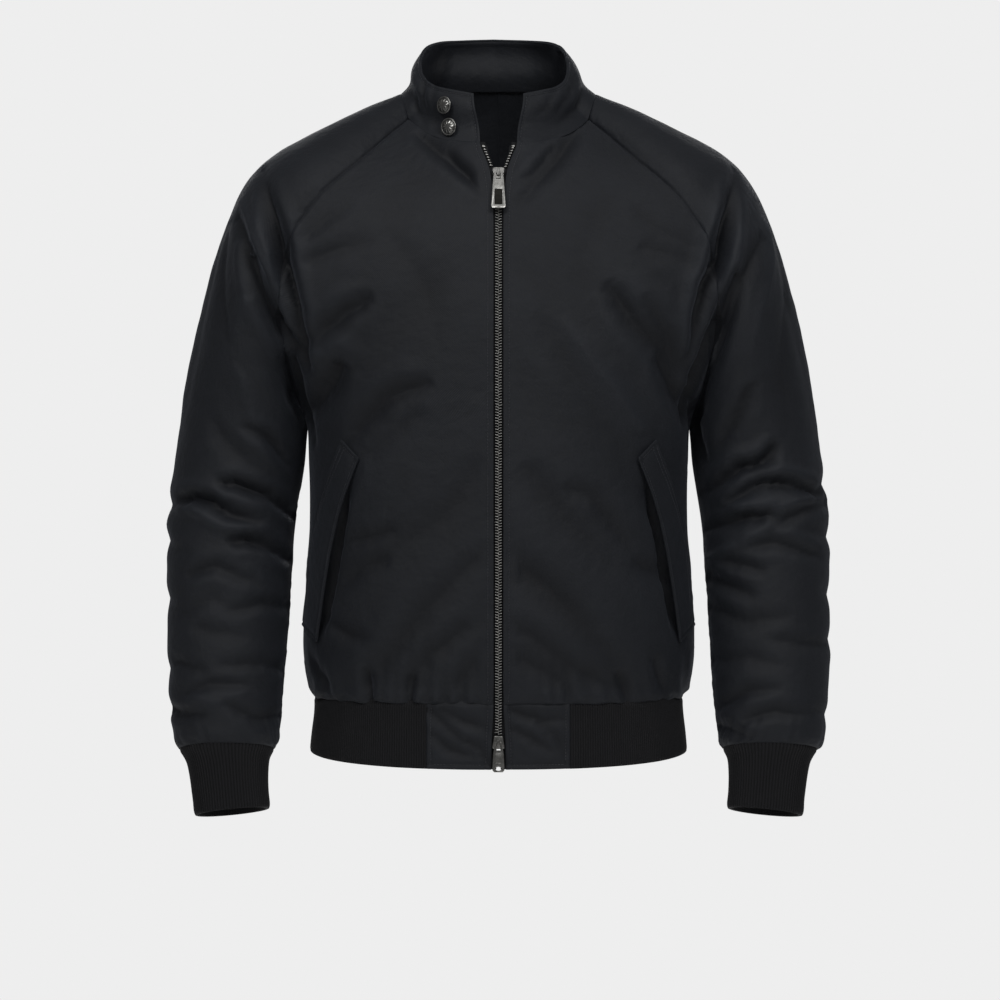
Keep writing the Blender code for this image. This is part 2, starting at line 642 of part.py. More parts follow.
# Collar buttons, on the wearer's right
collar_button("collar_button_upper", collar_right, -0.0506, 0.66, aged_silver)
collar_button("collar_button_lower", collar_right, -0.0466, 0.24, aged_silver)
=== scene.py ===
import math
from collections import namedtuple

import bpy
import numpy as np
from mathutils import Matrix, Vector, noise


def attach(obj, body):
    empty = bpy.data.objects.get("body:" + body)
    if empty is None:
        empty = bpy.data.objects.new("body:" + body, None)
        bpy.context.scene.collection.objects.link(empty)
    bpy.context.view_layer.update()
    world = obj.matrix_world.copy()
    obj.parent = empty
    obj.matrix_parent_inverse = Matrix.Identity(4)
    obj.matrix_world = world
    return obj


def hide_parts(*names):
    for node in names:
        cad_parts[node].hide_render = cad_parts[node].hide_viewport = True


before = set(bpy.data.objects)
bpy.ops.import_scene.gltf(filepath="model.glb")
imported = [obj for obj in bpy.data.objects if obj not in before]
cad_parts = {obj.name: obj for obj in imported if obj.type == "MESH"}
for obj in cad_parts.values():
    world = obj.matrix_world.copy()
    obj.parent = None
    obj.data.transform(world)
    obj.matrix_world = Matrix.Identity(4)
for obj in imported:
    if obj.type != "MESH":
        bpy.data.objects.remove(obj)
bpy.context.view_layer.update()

bpy.ops.object.select_all(action="DESELECT")

# ---- Camera ------------------------------------------------------------------------------------
# Level with the middle of the jacket, far enough off that one millimetre of cloth in the plane of
# the shoulders is one thousandth of the picture's width.
CAMERA_AT = (0.0015, -3.6, -0.400)
SENSOR = 36.0
camera_data = bpy.data.cameras.new("camera")
camera_data.sensor_width = SENSOR
camera_data.lens = SENSOR * -CAMERA_AT[1]
camera = bpy.data.objects.new("camera", camera_data)
camera.location = CAMERA_AT
camera.rotation_euler = (math.radians(90), 0.0, 0.0)
bpy.context.scene.collection.objects.link(camera)
bpy.context.scene.camera = camera

# ---- Woven shell: two fronts, a back and two raglan sleeves --------------------------------------
# Brushed cotton twill, peach-finished and dense, cut in five panels and sewn with plain pressed
# seams.  The panels are laid as sheets on the worn form, creased, and given their wall.
SHELL_WALL = 0.0018
SEAM_LAP = 0.0003            # neighbouring sheets overlap this much, so that no light shows in a seam
SHEET_STEP = 0.0030          # spacing of a sheet's points
BAND_SEAM_Z = -0.597
UNDERARM_Z = -0.325

Level = namedtuple("Level", "z half_width front back square")
LEVELS = [Level(*row) for row in (
    (-0.661, 0.1878, 0.1365, 0.1205, 2.35),
    (-0.648, 0.1876, 0.1368, 0.1205, 2.35),
    (-0.630, 0.1860, 0.1372, 0.1205, 2.35),
    (-0.610, 0.1836, 0.1378, 0.1205, 2.35),
    (-0.597, 0.1835, 0.1390, 0.1225, 2.35),
    (-0.588, 0.1870, 0.1412, 0.1260, 2.35),
    (-0.570, 0.1932, 0.1448, 0.1300, 2.35),
    (-0.545, 0.1950, 0.1468, 0.1315, 2.35),
    (-0.510, 0.1943, 0.1472, 0.1300, 2.35),
    (-0.470, 0.1914, 0.1470, 0.1275, 2.35),
    (-0.430, 0.1886, 0.1470, 0.1262, 2.35),
    (-0.390, 0.1882, 0.1468, 0.1265, 2.35),
    (-0.360, 0.1893, 0.1462, 0.1282, 2.35),
    (-0.325, 0.1905, 0.1452, 0.1305, 2.32),
    (-0.260, 0.2000, 0.1425, 0.1338, 2.25),
    (-0.206, 0.2000, 0.1370, 0.1350, 2.20),
    (-0.152, 0.2000, 0.1265, 0.1318, 2.15),
    (-0.098, 0.2000, 0.1105, 0.1222, 2.10),
    (-0.049, 0.2000, 0.0880, 0.1075, 2.10),
    (-0.012, 0.2000, 0.0700, 0.0915, 2.10),
    (0.018, 0.2000, 0.0600, 0.0700, 2.10),
)]
# Sections over the shoulder from the neck to the underarm, each from the front raglan seam over
# the shoulder line to the back raglan seam.
Cap = namedtuple("Cap", "front_x front_z top_x top_z back_x back_z front_deep back_deep"
                        " open_angle front_row back_row")
CAPS = [Cap(*row) for row in (
    (0.0884, -0.0230, 0.0970, 0.0060, 0.0600, 0.0150, 0.043, 0.062, 90, -0.049, 0.018),
    (0.1142, -0.0470, 0.1310, -0.0075, 0.0900, -0.0200, 0.066, 0.080, 90, -0.074, -0.012),
    (0.1330, -0.0655, 0.1580, -0.0200, 0.1140, -0.0520, 0.083, 0.091, 90, -0.100, -0.042),
    (0.1570, -0.0865, 0.1900, -0.0360, 0.1380, -0.0860, 0.097, 0.100, 90, -0.127, -0.074),
    (0.1765, -0.1065, 0.2175, -0.0510, 0.1570, -0.1190, 0.105, 0.107, 90, -0.154, -0.106),
    (0.1950, -0.1330, 0.2410, -0.0700, 0.1715, -0.1510, 0.108, 0.111, 90, -0.181, -0.138),
    (0.2060, -0.1570, 0.2560, -0.0910, 0.1820, -0.1820, 0.106, 0.112, 88, -0.207, -0.170),
    (0.2120, -0.1880, 0.2670, -0.1150, 0.1895, -0.2120, 0.103, 0.110, 78, -0.233, -0.202),
    (0.2130, -0.2230, 0.2775, -0.1430, 0.1940, -0.2420, 0.099, 0.106, 62, -0.258, -0.234),
    (0.2085, -0.2610, 0.2870, -0.1730, 0.1958, -0.2720, 0.094, 0.101, 44, -0.282, -0.266),
    (0.2000, -0.2970, 0.2955, -0.2040, 0.1945, -0.3010, 0.089, 0.095, 22, -0.305, -0.297),
    (0.1905, -0.3250, 0.3030, -0.2350, 0.1905, -0.3250, 0.085, 0.088, 0, -0.325, -0.325),
)]
# Rings of the sleeve from the underarm down to the cuff.
Ring = namedtuple("Ring", "inner_x inner_z outer_x outer_z middle_y half_deep lean")
RINGS = [Ring(*row) for row in (
    (0.1905, -0.3250, 0.3030, -0.2350, 0.0015, 0.0865, 0.00),
    (0.1922, -0.3420, 0.3095, -0.2660, 0.0020, 0.0805, 0.00),
    (0.1938, -0.3630, 0.3155, -0.3020, 0.0030, 0.0770, 0.01),
    (0.1978, -0.3890, 0.3200, -0.3400, 0.0020, 0.0735, 0.02),
    (0.2025, -0.4190, 0.3255, -0.3810, -0.001, 0.0700, 0.04),
    (0.2055, -0.4520, 0.3296, -0.4230, -0.007, 0.0662, 0.07),
    (0.2073, -0.4860, 0.3296, -0.4650, -0.014, 0.0628, 0.10),
    (0.2087, -0.5200, 0.3292, -0.5070, -0.021, 0.0598, 0.13),
    (0.2110, -0.5550, 0.3284, -0.5480, -0.029, 0.0568, 0.15),
    (0.2130, -0.5860, 0.3264, -0.5840, -0.036, 0.0540, 0.17),
    (0.2150, -0.6120, 0.3238, -0.6130, -0.042, 0.0515, 0.18),
    (0.2172, -0.6320, 0.3203, -0.6340, -0.046, 0.0488, 0.19),
    (0.2210, -0.6450, 0.3152, -0.6465, -0.048, 0.0455, 0.20),
)]
# Half the gap between the two front edges, closed on the zip and open at the neck.
Edge = namedtuple("Edge", "z half_gap")
FRONT_EDGE = [Edge(*row) for row in (
    (-0.661, 0.0070), (-0.640, 0.0068), (-0.620, 0.0060), (-0.600, 0.0050),
    (-0.300, 0.0050), (-0.108, 0.0052), (-0.092, 0.0068), (-0.078, 0.0090),
    (-0.067, 0.0128), (-0.055, 0.0172), (-0.045, 0.0185),
)]


def follow(places, values, at):
    """A smooth curve through values given at rising places, read at one place or at many."""
    places, values, at = (np.asarray(item, float) for item in (places, values, at))
    slopes = np.gradient(values, places) if len(places) < 3 else np.concatenate((
        [(values[1] - values[0]) / (places[1] - places[0])],
        (values[2:] - values[:-2]) / (places[2:] - places[:-2]),
        [(values[-1] - values[-2]) / (places[-1] - places[-2])]))
    at = np.clip(at, places[0], places[-1])
    i = np.clip(np.searchsorted(places, at, side="right") - 1, 0, len(places) - 2)
    span = places[i + 1] - places[i]
    s = (at - places[i]) / span
    start = (2 * s ** 3 - 3 * s ** 2 + 1) * values[i] + (s ** 3 - 2 * s ** 2 + s) * span * slopes[i]
    return start + (3 * s ** 2 - 2 * s ** 3) * values[i + 1] + (s ** 3 - s ** 2) * span * slopes[i + 1]


def column_at(table, column, place, along=None):
    """A column of a table, by row number or along another column."""
    places = range(len(table)) if along is None else [getattr(row, along) for row in table]
    return follow(list(places), [getattr(row, column) for row in table], place)


def level(column, z):
    return column_at(LEVELS, column, z, along="z")


def front_gap(z):
    return column_at(FRONT_EDGE, "half_gap", z, along="z")


def even(points, shares):
    """Points at given shares of the length of a finely drawn line."""
    run = np.concatenate(([0.0], np.cumsum(np.linalg.norm(np.diff(points, axis=0), axis=1))))
    return np.stack([np.interp(shares * run[-1], run, points[:, axis]) for axis in range(3)], axis=1)


def spread(length, step, seam_first=True, seam_last=True):
    """Shares of a length: an even step, and closer beside a seam so that its groove has a shape."""
    close = np.array([0.0, 0.0008, 0.0016, 0.0026, 0.0038, 0.0054])
    low = close if seam_first else close[:1]
    high = close if seam_last else close[:1]
    count = max(2, round((length - low[-1] - high[-1]) / step))
    middle = np.linspace(low[-1], length - high[-1], count + 1)[1:-1]
    return np.concatenate((low, middle, length - high[::-1])) / length


def level_section(middle_z, end, side, start_x, rise, shares):
    """A row of the body from start_x near the centre line to end; side is -1 for the front."""
    square = level("square", middle_z)
    deep = level("front" if side < 0 else "back", middle_z)
    share = max(0.0, 1 - (abs(end[1]) / deep) ** square) ** (1 / square)
    wide = end[0] / share
    first = math.asin(min(1.0, (start_x / wide) ** (square / 2)))
    last = math.asin(min(1.0, share ** (square / 2)))
    angle = first + (last - first) * np.linspace(0.0, 1.0, 301) ** 0.8
    x = wide * np.sin(angle) ** (2 / square)
    y = side * deep * np.maximum(0.0, np.cos(angle)) ** (2 / square)
    z = middle_z + (end[2] - middle_z) * (x / end[0]) ** rise
    line = np.stack((x, y, z), axis=1)
    line[-1] = end
    return even(line, shares)


def cap_section(place, shares):
    """A section over the shoulder, from the front raglan seam to the back one."""
    cap = Cap(*(float(column_at(CAPS, name, place)) for name in Cap._fields))
    start = math.radians(max(cap.open_angle, 0.0))
    top = np.array((cap.top_x, 0.0, cap.top_z))
    angle = np.linspace(start, math.pi, 161)[:, None]
    line = []
    for side, x, z, deep in ((-1, cap.front_x, cap.front_z, cap.front_deep),
                             (1, cap.back_x, cap.back_z, cap.back_deep)):
        centre = (np.array((x, 0.0, z)) + top * math.cos(start)) / (1 + math.cos(start))
        half = centre + (centre - top) * np.cos(angle)
        half[:, 1:2] = side * deep * np.sin(angle)
        line.append(half if side < 0 else half[-2::-1])
    return even(np.concatenate(line), shares)


def ring_section(table, place, shares):
    """A closed ring of a sleeve or cuff, from its inner side round the front."""
    ring = Ring(*(float(column_at(table, name, place)) for name in Ring._fields))
    inner = np.array((ring.inner_x, ring.middle_y, ring.inner_z))
    centre = (inner + np.array((ring.outer_x, ring.middle_y, ring.outer_z))) / 2
    angle = np.linspace(0.0, 2 * math.pi, 361)[:, None]
    line = centre + (inner - centre) * np.cos(angle)
    forward = ring.half_deep * np.sin(angle)
    line[:, 1:2] -= forward
    line[:, 2:] += forward * ring.lean
    return even(line, shares)


def body_half(side, shares):
    """Rows of half the front (side -1) or half the back (side 1), waistband first, neck last."""
    rows = []
    for share in spread(UNDERARM_Z - BAND_SEAM_Z, SHEET_STEP, seam_last=False)[:-1]:
        z = BAND_SEAM_Z + (UNDERARM_Z - BAND_SEAM_Z) * share
        end = np.array((float(level("half_width", z)), 0.0, z))
        rows.append(level_section(z, end, side, float(front_gap(z)) if side < 0 else 0.0, 2.0, shares))
    for place in cap_places:
        z = float(column_at(CAPS, "front_row" if side < 0 else "back_row", place))
        end = cap_section(place, np.array((0.0, 1.0)))[0 if side < 0 else 1]
        rise = 2.0 + 2.0 * max(0.0, 1 - place / 3)
        rows.append(level_section(z, end, side, float(front_gap(z)) if side < 0 else 0.0, rise, shares))
    return np.array(rows)


def mirrored(grid):
    return grid[:, ::-1] * (-1.0, 1.0, 1.0)


def eased(grid, rounds):
    """Softens a sheet's rows, its edges kept."""
    grid = grid.copy()
    for _ in range(rounds):
        grid[1:-1, 1:-1] += 0.5 * ((grid[:-2, 1:-1] + grid[2:, 1:-1]) / 2 - grid[1:-1, 1:-1])
    return grid


ROUGH_SEAM_RUN = 0.37        # length of a raglan seam, and of a sleeve below the underarm
cap_places = (len(CAPS) - 1) * (1 - spread(ROUGH_SEAM_RUN, SHEET_STEP, seam_first=False))
front_shares = spread(0.25, SHEET_STEP)
half_back_shares = spread(0.25, SHEET_STEP, seam_first=False)
sleeve_shares = spread(0.33, SHEET_STEP)
front_left = body_half(-1, front_shares)
back_half = body_half(1, half_back_shares)
ring_places = (len(RINGS) - 1) * (1 - spread(ROUGH_SEAM_RUN, SHEET_STEP, seam_last=False))
sleeve_left = np.array([ring_section(RINGS, place, sleeve_shares) for place in ring_places[:-1]]
                       + [cap_section(place, sleeve_shares) for place in cap_places])
EASE = 12
front_left, back_half, sleeve_left = (eased(grid, EASE) for grid in (front_left, back_half, sleeve_left))
sheets = {
    "front_left": front_left,
    "front_right": mirrored(front_left),
    "back": np.concatenate((back_half[:, ::-1], mirrored(back_half[:, ::-1])[:, 1:]), axis=1),
    "sleeve_left": sleeve_left,
    "sleeve_right": mirrored(sleeve_left),
}
Fold = namedtuple("Fold", "side on view width depth lip path")


def creases(side, on, view, rows):
    """Creases of one part seen from one view, each its width, depth, lip and path, in millimetres."""
    return [Fold(side, on, view, width / 1000, depth / 1000, lip, [(a / 1000, b / 1000) for a, b in path])
            for width, depth, lip, *path in rows]


# Creases, each drawn along a path seen from the front, the back or the side: x and z, or y and
# z from the side.  Width is a valley's half width, a negative depth is a ridge, and lip is how much
# the cloth rises beside a valley, as a share of its depth.
FOLDS = [
    *creases("right", "both", "front", [
        (8, 9, 0.5, (-232, -78), (-218, -133), (-208, -175), (-196, -222), (-189, -256)),
        (9, 7, 0.3, (-244, -162), (-230, -196), (-211, -230), (-191, -262)),
        (7, 3, 0.2, (-255, -124), (-236, -165), (-211, -196)),
        (6, -3, 0, (-251, -109), (-223, -179), (-200, -213)),
        (10, 5, 0, (-202, -260), (-195, -302), (-185, -332)),
        (12, 2.2, 0, (-268, -133), (-272, -201), (-259, -256), (-236, -290)),
        (10, -1.8, 0, (-244, -205), (-261, -243), (-247, -294), (-233, -341)),
    ]),
    *creases("right", "sleeve", "front", [
        (9, 2.2, 0.2, (-276, -330), (-251, -358), (-225, -377)),
        (6, 4, 0.4, (-244, -330), (-225, -340), (-211, -360)),
        (6.5, 6, 0.5, (-270, -383), (-251, -387), (-230, -394), (-206, -413)),
        (6.5, 6, 0.5, (-311, -398), (-289, -399), (-268, -411), (-243, -419)),
        (6, -2.5, 0, (-297, -411), (-272, -425), (-237, -426)),
        (6.5, 5, 0.4, (-258, -440), (-234, -442), (-211, -456)),
        (6, 3.5, 0.4, (-300, -471), (-276, -466), (-243, -479)),
        (6, 2.6, 0.2, (-258, -507), (-229, -502), (-208, -506)),
        (7, 1.8, 0.2, (-306, -510), (-285, -498), (-268, -502)),
        (7, 2, 0.2, (-291, -527), (-259, -532)),
        (6, 2.4, 0.2, (-264, -562), (-230, -560), (-208, -570)),
        (6, 2.2, 0.2, (-312, -560), (-291, -566)),
        (5.5, 2.8, 0.3, (-301, -587), (-276, -578), (-244, -582)),
        (6, -1.8, 0, (-297, -591), (-274, -598), (-247, -587)),
        (5.5, 3, 0.3, (-319, -608), (-295, -610)),
        (6, 2.8, 0.3, (-261, -600), (-236, -613), (-217, -612)),
    ]),
    *creases("left", "both", "front", [
        (8, 9, 0.5, (233, -78), (224, -124), (212, -167), (199, -201), (188, -249)),
        (9, 7, 0.3, (231, -181), (216, -218), (199, -260), (185, -307)),
        (9, 3, 0.2, (258, -145), (241, -179), (220, -239), (207, -277)),
        (6, -3, 0, (237, -82), (229, -158), (210, -230)),
        (10, -2, 0, (265, -128), (266, -175), (250, -239)),
        (10, 5, 0, (190, -290), (197, -341), (203, -358)),
        (12, 1.8, 0, (286, -201), (279, -256), (284, -315)),
    ]),
    *creases("left", "sleeve", "front", [
        (7, 3.4, 0.3, (246, -293), (235, -315), (217, -343)),
        (7, 6, 0.5, (270, -350), (258, -363), (233, -372), (210, -388)),
        (6.5, 6, 0.5, (313, -392), (279, -383), (250, -387), (228, -402)),
        (6, -2.5, 0, (231, -405), (263, -408), (302, -400)),
        (6.5, 5, 0.4, (266, -415), (241, -417), (214, -426)),
        (6, 4, 0.4, (323, -403), (301, -409), (274, -426)),
        (6, 3.8, 0.4, (307, -452), (273, -442), (243, -447)),
        (6, -3, 0, (210, -456), (233, -447), (248, -436)),
        (6, 3.6, 0.3, (222, -460), (241, -464), (256, -469)),
        (7, 3.2, 0.3, (212, -478), (240, -490)),
        (7, 2.2, 0.2, (212, -506), (241, -519), (275, -514)),
        (6, 2.2, 0.2, (310, -541), (277, -537)),
        (7, 2, 0.2, (216, -557), (241, -554), (267, -559)),
        (6, 3, 0.3, (222, -600), (241, -587), (265, -585)),
        (6, 3, 0.3, (245, -613), (267, -606), (294, -609)),
        (6, 2.4, 0.2, (218, -623), (237, -629)),
    ]),
    *creases("right", "body", "front", [
        (9, 4, 0.3, (-131, -208), (-154, -224), (-177, -242)),
        (11, 5, 0.3, (-155, -273), (-166, -291), (-182, -310)),
        (12, -2, 0, (-178, -259), (-158, -251), (-142, -255)),
        (10, 3.4, 0.3, (-74, -290), (-103, -300), (-123, -317), (-142, -336)),
        (12, 1.8, 0, (-84, -322), (-115, -349), (-131, -357)),
        (7, 2.2, 0.2, (-107, -430), (-127, -436), (-146, -440)),
        (10, 2, 0.1, (-113, -459), (-135, -467), (-154, -487)),
        (16, 1.8, 0, (-25, -377), (-52, -416), (-103, -448)),
        (13, 2.8, 0.2, (-25, -459), (-68, -503), (-101, -544), (-129, -579)),
        (9, 2.6, 0.2, (-40, -528), (-70, -554), (-89, -583)),
        (9, 2.2, 0.2, (-15, -548), (-32, -567), (-44, -585)),
        (7, 2.2, 0.2, (-164, -519), (-148, -530), (-131, -534)),
        (8, 3, 0.3, (-72, -47), (-44, -71), (-14, -96)),
        (6, 2, 0.2, (-46, -65), (-32, -82), (-23, -91)),
        (8, 1.6, 0.1, (-186, -145), (-168, -129), (-150, -118)),
        (8, 1.8, 0.1, (-182, -169), (-162, -159), (-135, -153)),
        (18, 1.5, 0, (-99, -153), (-72, -192), (-60, -243)),
        (5, 3, 0.2, (-129, -571), (-123, -595)),
        (8, 2.6, 0.2, (-180, -565), (-164, -589)),
        (6, 2, 0.1, (-84, -575), (-84, -597)),
    ]),
    *creases("left", "body", "front", [
        (8, 3, 0.3, (70, -47), (52, -74), (28, -102)),
        (6, 2, 0.2, (50, -61), (34, -82), (19, -90)),
        (11, 4.2, 0.3, (113, -202), (136, -233), (178, -269)),
        (9, 3, 0.2, (146, -212), (162, -235), (172, -259)),
        (11, 5, 0.3, (158, -269), (172, -294), (182, -314)),
        (11, -2.2, 0, (74, -243), (109, -290), (137, -328)),
        (14, 1.8, 0, (50, -243), (81, -298), (113, -338)),
        (10, 2.6, 0.15, (69, -389), (89, -396), (109, -420), (125, -440)),
        (14, 1.8, 0, (34, -377), (58, -410), (97, -451)),
        (13, 2.6, 0.2, (23, -465), (66, -502), (107, -548)),
        (10, 2.8, 0.2, (30, -530), (74, -561), (113, -581)),
        (9, 2.4, 0.2, (19, -552), (52, -570), (70, -589)),
        (9, 2.2, 0.2, (136, -463), (156, -471), (178, -481)),
        (8, 2, 0.1, (144, -394), (154, -416), (172, -420)),
        (6, 3.2, 0.2, (119, -571), (125, -589)),
        (7, 2.6, 0.2, (154, -561), (162, -589)),
        (9, 1.6, 0.1, (136, -121), (152, -137), (188, -153)),
        (9, 1.6, 0.1, (144, -157), (168, -161), (191, -173)),
        (18, 1.5, 0, (97, -121), (81, -173), (89, -220)),
    ]),
    # back of the body: drags from the underarms to the shoulder blades, fullness over the waistband
    *creases("left", "both", "back", [
        (10, 7, 0.4, (236, -105), (214, -165), (199, -225), (188, -290)),
        (9, 4, 0.3, (247, -150), (224, -205), (200, -262)),
    ]),
    *creases("right", "both", "back", [
        (10, 7, 0.4, (-234, -98), (-216, -160), (-200, -228), (-187, -295)),
        (9, 4.4, 0.3, (-250, -142), (-226, -200), (-203, -258)),
    ]),
    *creases("left", "body", "back", [
        (11, 3.6, 0.3, (172, -262), (138, -236), (95, -222)),
        (12, 4, 0.3, (176, -310), (140, -292), (85, -290), (30, -300)),
        (12, 3.2, 0.2, (172, -365), (130, -352), (70, -362)),
        (13, 3, 0.2, (160, -430), (110, -450), (50, -448), (-20, -462)),
        (12, 3.4, 0.2, (165, -500), (120, -535), (70, -548), (15, -545)),
        (9, 2.6, 0.2, (100, -565), (70, -578), (40, -590)),
        (18, 2, 0, (60, -80), (75, -140), (60, -200)),
    ]),
    *creases("right", "body", "back", [
        (11, 3.4, 0.3, (-175, -270), (-140, -240), (-102, -228)),
        (12, 4.2, 0.3, (-178, -318), (-136, -300), (-80, -303)),
        (12, 3, 0.2, (-170, -372), (-120, -366), (-52, -380)),
        (13, 3.2, 0.2, (-165, -442), (-118, -470), (-60, -500)),
        (12, 3.4, 0.2, (-168, -520), (-120, -552), (-66, -560), (-20, -568)),
        (9, 2.6, 0.2, (-110, -572), (-135, -585)),
        (18, 2, 0, (-65, -75), (-78, -135), (-65, -205)),
    ]),
    # back of the sleeves, stretched at the elbow and slack above the cuff
    *creases("left", "sleeve", "back", [
        (8, 4, 0.3, (205, -352), (240, -345), (280, -325)),
        (8, 3.6, 0.3, (212, -395), (245, -400), (285, -390)),
        (7, 3.2, 0.3, (215, -440), (250, -452), (300, -448)),
        (7, 2.6, 0.2, (225, -510), (262, -520), (300, -512)),
        (7, 2.6, 0.2, (222, -565), (258, -558), (288, -566)),
        (6, 2.8, 0.3, (230, -605), (262, -612), (300, -604)),
    ]),
    *creases("right", "sleeve", "back", [
        (8, 4, 0.3, (-203, -345), (-238, -350), (-282, -338)),
        (8, 3.6, 0.3, (-210, -402), (-250, -398), (-288, -405)),
        (7, 3.4, 0.3, (-214, -452), (-255, -446), (-305, -460)),
        (7, 2.6, 0.2, (-222, -500), (-256, -512), (-296, -506)),
        (7, 2.6, 0.2, (-226, -548), (-262, -556), (-300, -545)),
        (6, 2.8, 0.3, (-224, -598), (-258, -592), (-296, -600)),
    ]),
    # outer sides of the sleeves: the elbow's creases run on round the arm and die out
    *creases("left", "sleeve", "left", [
        (8, 4.4, 0.3, (-52, -392), (-10, -384), (34, -398)),
        (8, 3.8, 0.3, (-50, -430), (-6, -438), (30, -426)),
        (8, 3, 0.2, (-45, -488), (-12, -496), (22, -486)),
        (8, 2.8, 0.2, (-60, -545), (-28, -538), (8, -550)),
        (7, 3, 0.3, (-75, -606), (-45, -612), (-12, -600)),
        (13, 2.6, 0.1, (-30, -140), (-42, -220), (-30, -300)),
        (14, 2.4, 0.1, (28, -130), (40, -210), (36, -290)),
    ]),
    *creases("right", "sleeve", "right", [
        (8, 4.4, 0.3, (-50, -400), (-8, -406), (36, -394)),
        (8, 3.6, 0.3, (-48, -448), (-12, -440), (28, -452)),
        (8, 3, 0.2, (-55, -505), (-20, -498), (18, -508)),
        (8, 2.8, 0.2, (-64, -560), (-32, -568), (4, -556)),
        (7, 3, 0.3, (-72, -612), (-40, -604), (-10, -614)),
        (13, 2.6, 0.1, (-26, -132), (-38, -215), (-28, -305)),
        (14, 2.4, 0.1, (30, -138), (42, -215), (34, -285)),
    ]),
]
# Each view's two axes and the direction its cloth faces.
VIEWS = {"front": ((0, 2), (0.0, -1.0, 0.0)), "back": ((0, 2), (0.0, 1.0, 0.0)),
         "left": ((1, 2), (1.0, 0.0, 0.0)), "right": ((1, 2), (-1.0, 0.0, 0.0))}


def facing_out(grid):
    """Unscaled outward directions at a sheet's points."""
    across = np.gradient(grid, axis=1)
    up = np.gradient(grid, axis=0)
    out = np.cross(across, up)
    return out / np.maximum(np.linalg.norm(out, axis=2, keepdims=True), 1e-12)


PLACES = 1e5                  # to a metre: points that round to the same place are one point of a seam


def same_place(points):
    """A number for each point, the same for points that lie at one place."""
    _, number = np.unique(np.round(points * PLACES).astype(np.int64), axis=0, return_inverse=True)
    return number.ravel()


def sewn_normals(grids):
    """Outward unit directions, shared where the points of sewn sheets meet."""
    points = np.concatenate([grid.reshape(-1, 3) for grid in grids])
    out = np.concatenate([facing_out(grid).reshape(-1, 3) for grid in grids])
    same = same_place(points)
    total = np.zeros((same.max() + 1, 3))
    np.add.at(total, same, out)
    out = total[same]
    return points, out / np.linalg.norm(out, axis=1, keepdims=True)


def smooth_step(low, high, value):
    share = np.clip((value - low) / (high - low), 0.0, 1.0)
    return share * share * (3 - 2 * share)


def crease(fold, points, out, chosen):
    """How far one crease moves the cloth along its outward direction."""
    axes, toward = VIEWS[fold.view]
    seen = np.flatnonzero(chosen & (out @ np.array(toward) > 0.12))
    knots = np.array(fold.path)
    lead = 0.1 if fold.on == "both" else 0.45
    knots = np.concatenate(([knots[0] + lead * (knots[0] - knots[1])], knots,
                            [knots[-1] + 0.6 * (knots[-1] - knots[-2])]))
    at = np.linspace(0.0, len(knots) - 1, 8 * (len(knots) - 1) + 1)
    line = np.stack([follow(range(len(knots)), knots[:, axis], at) for axis in (0, 1)], axis=1)
    flat = points[seen][:, axes]
    laid = points[seen[[np.argmin(((flat - spot) ** 2).sum(axis=1)) for spot in line]]]
    laid[1:-1] = (laid[:-2] + 2 * laid[1:-1] + laid[2:]) / 4
    reach = 3.6 * fold.width
    low, high = laid.min(axis=0) - reach, laid.max(axis=0) + reach
    near = np.flatnonzero(chosen & ((points > low) & (points < high)).all(axis=1))
    here = points[near]
    best = np.full(len(near), np.inf)
    share, side = np.zeros(len(near)), np.zeros(len(near))
    for i, (a, b) in enumerate(zip(laid, laid[1:])):
        run = b - a
        length = max(float(run @ run), 1e-12)
        t = np.clip((here - a) @ run / length, 0.0, 1.0)
        away = here - (a + t[:, None] * run)
        distance = (away ** 2).sum(axis=1)
        closer = distance < best
        best[closer] = distance[closer]
        share[closer] = (i + t[closer]) / (len(laid) - 1)
        turned = np.cross(run, out[near][closer])
        side[closer] = np.sign((turned * away[closer]).sum(axis=1))
    # a crease starts narrow, is deepest a little before its middle, and dies out in a long tail
    narrow = 0.6 + 0.4 * np.sin(math.pi * np.clip(share, 0.0, 1.0))
    offset = np.sqrt(best) * side / (fold.width * narrow)
    fade = np.sin(math.pi * np.clip(share, 0.0, 1.0) ** 0.85) ** 1.15
    valley = np.exp(-np.abs(offset) ** 1.4)
    rise = fold.lip * (np.exp(-((offset - 1.9) / 1.0) ** 2) + 0.55 * np.exp(-((offset + 2.1) / 1.1) ** 2))
    moved = np.zeros(len(points))
    moved[near] = fold.depth * fade * (rise - valley)
    return moved


def waves(points, sizes, seed):
    """Smooth noise, -1 to 1, with a wavelength of its own along each axis."""
    scale = 1.0 / np.array(sizes)
    return np.array([noise.noise(Vector(point * scale + seed)) for point in points])


names = list(sheets)
counts = [sheets[name].shape[0] * sheets[name].shape[1] for name in names]
piece = np.repeat(np.arange(len(names)), counts)
points, out = sewn_normals([sheets[name] for name in names])
left_side = {"left": points[:, 0] > 0, "right": points[:, 0] < 0}
on_sleeve = np.isin(piece, [names.index("sleeve_left"), names.index("sleeve_right")])
FOLD_GAIN = {"body": 1.9, "sleeve": 1.55, "both": 1.8}       # slack each part of the cloth carries
moved = np.zeros(len(points))
of_part = {"sleeve": on_sleeve, "body": ~on_sleeve, "both": on_sleeve | ~on_sleeve}
for fold in FOLDS:
    chosen = left_side[fold.side] & of_part[fold.on]
    gain = FOLD_GAIN[fold.on] * (0.55 if fold.view in ("left", "right") else 1.0)
    moved += gain * crease(fold, points, out, chosen)
# the shoulder line stays smooth: creases start below it
moved *= np.where(on_sleeve, 1 - 0.8 * smooth_step(-0.150, -0.075, points[:, 2]), 1.0)

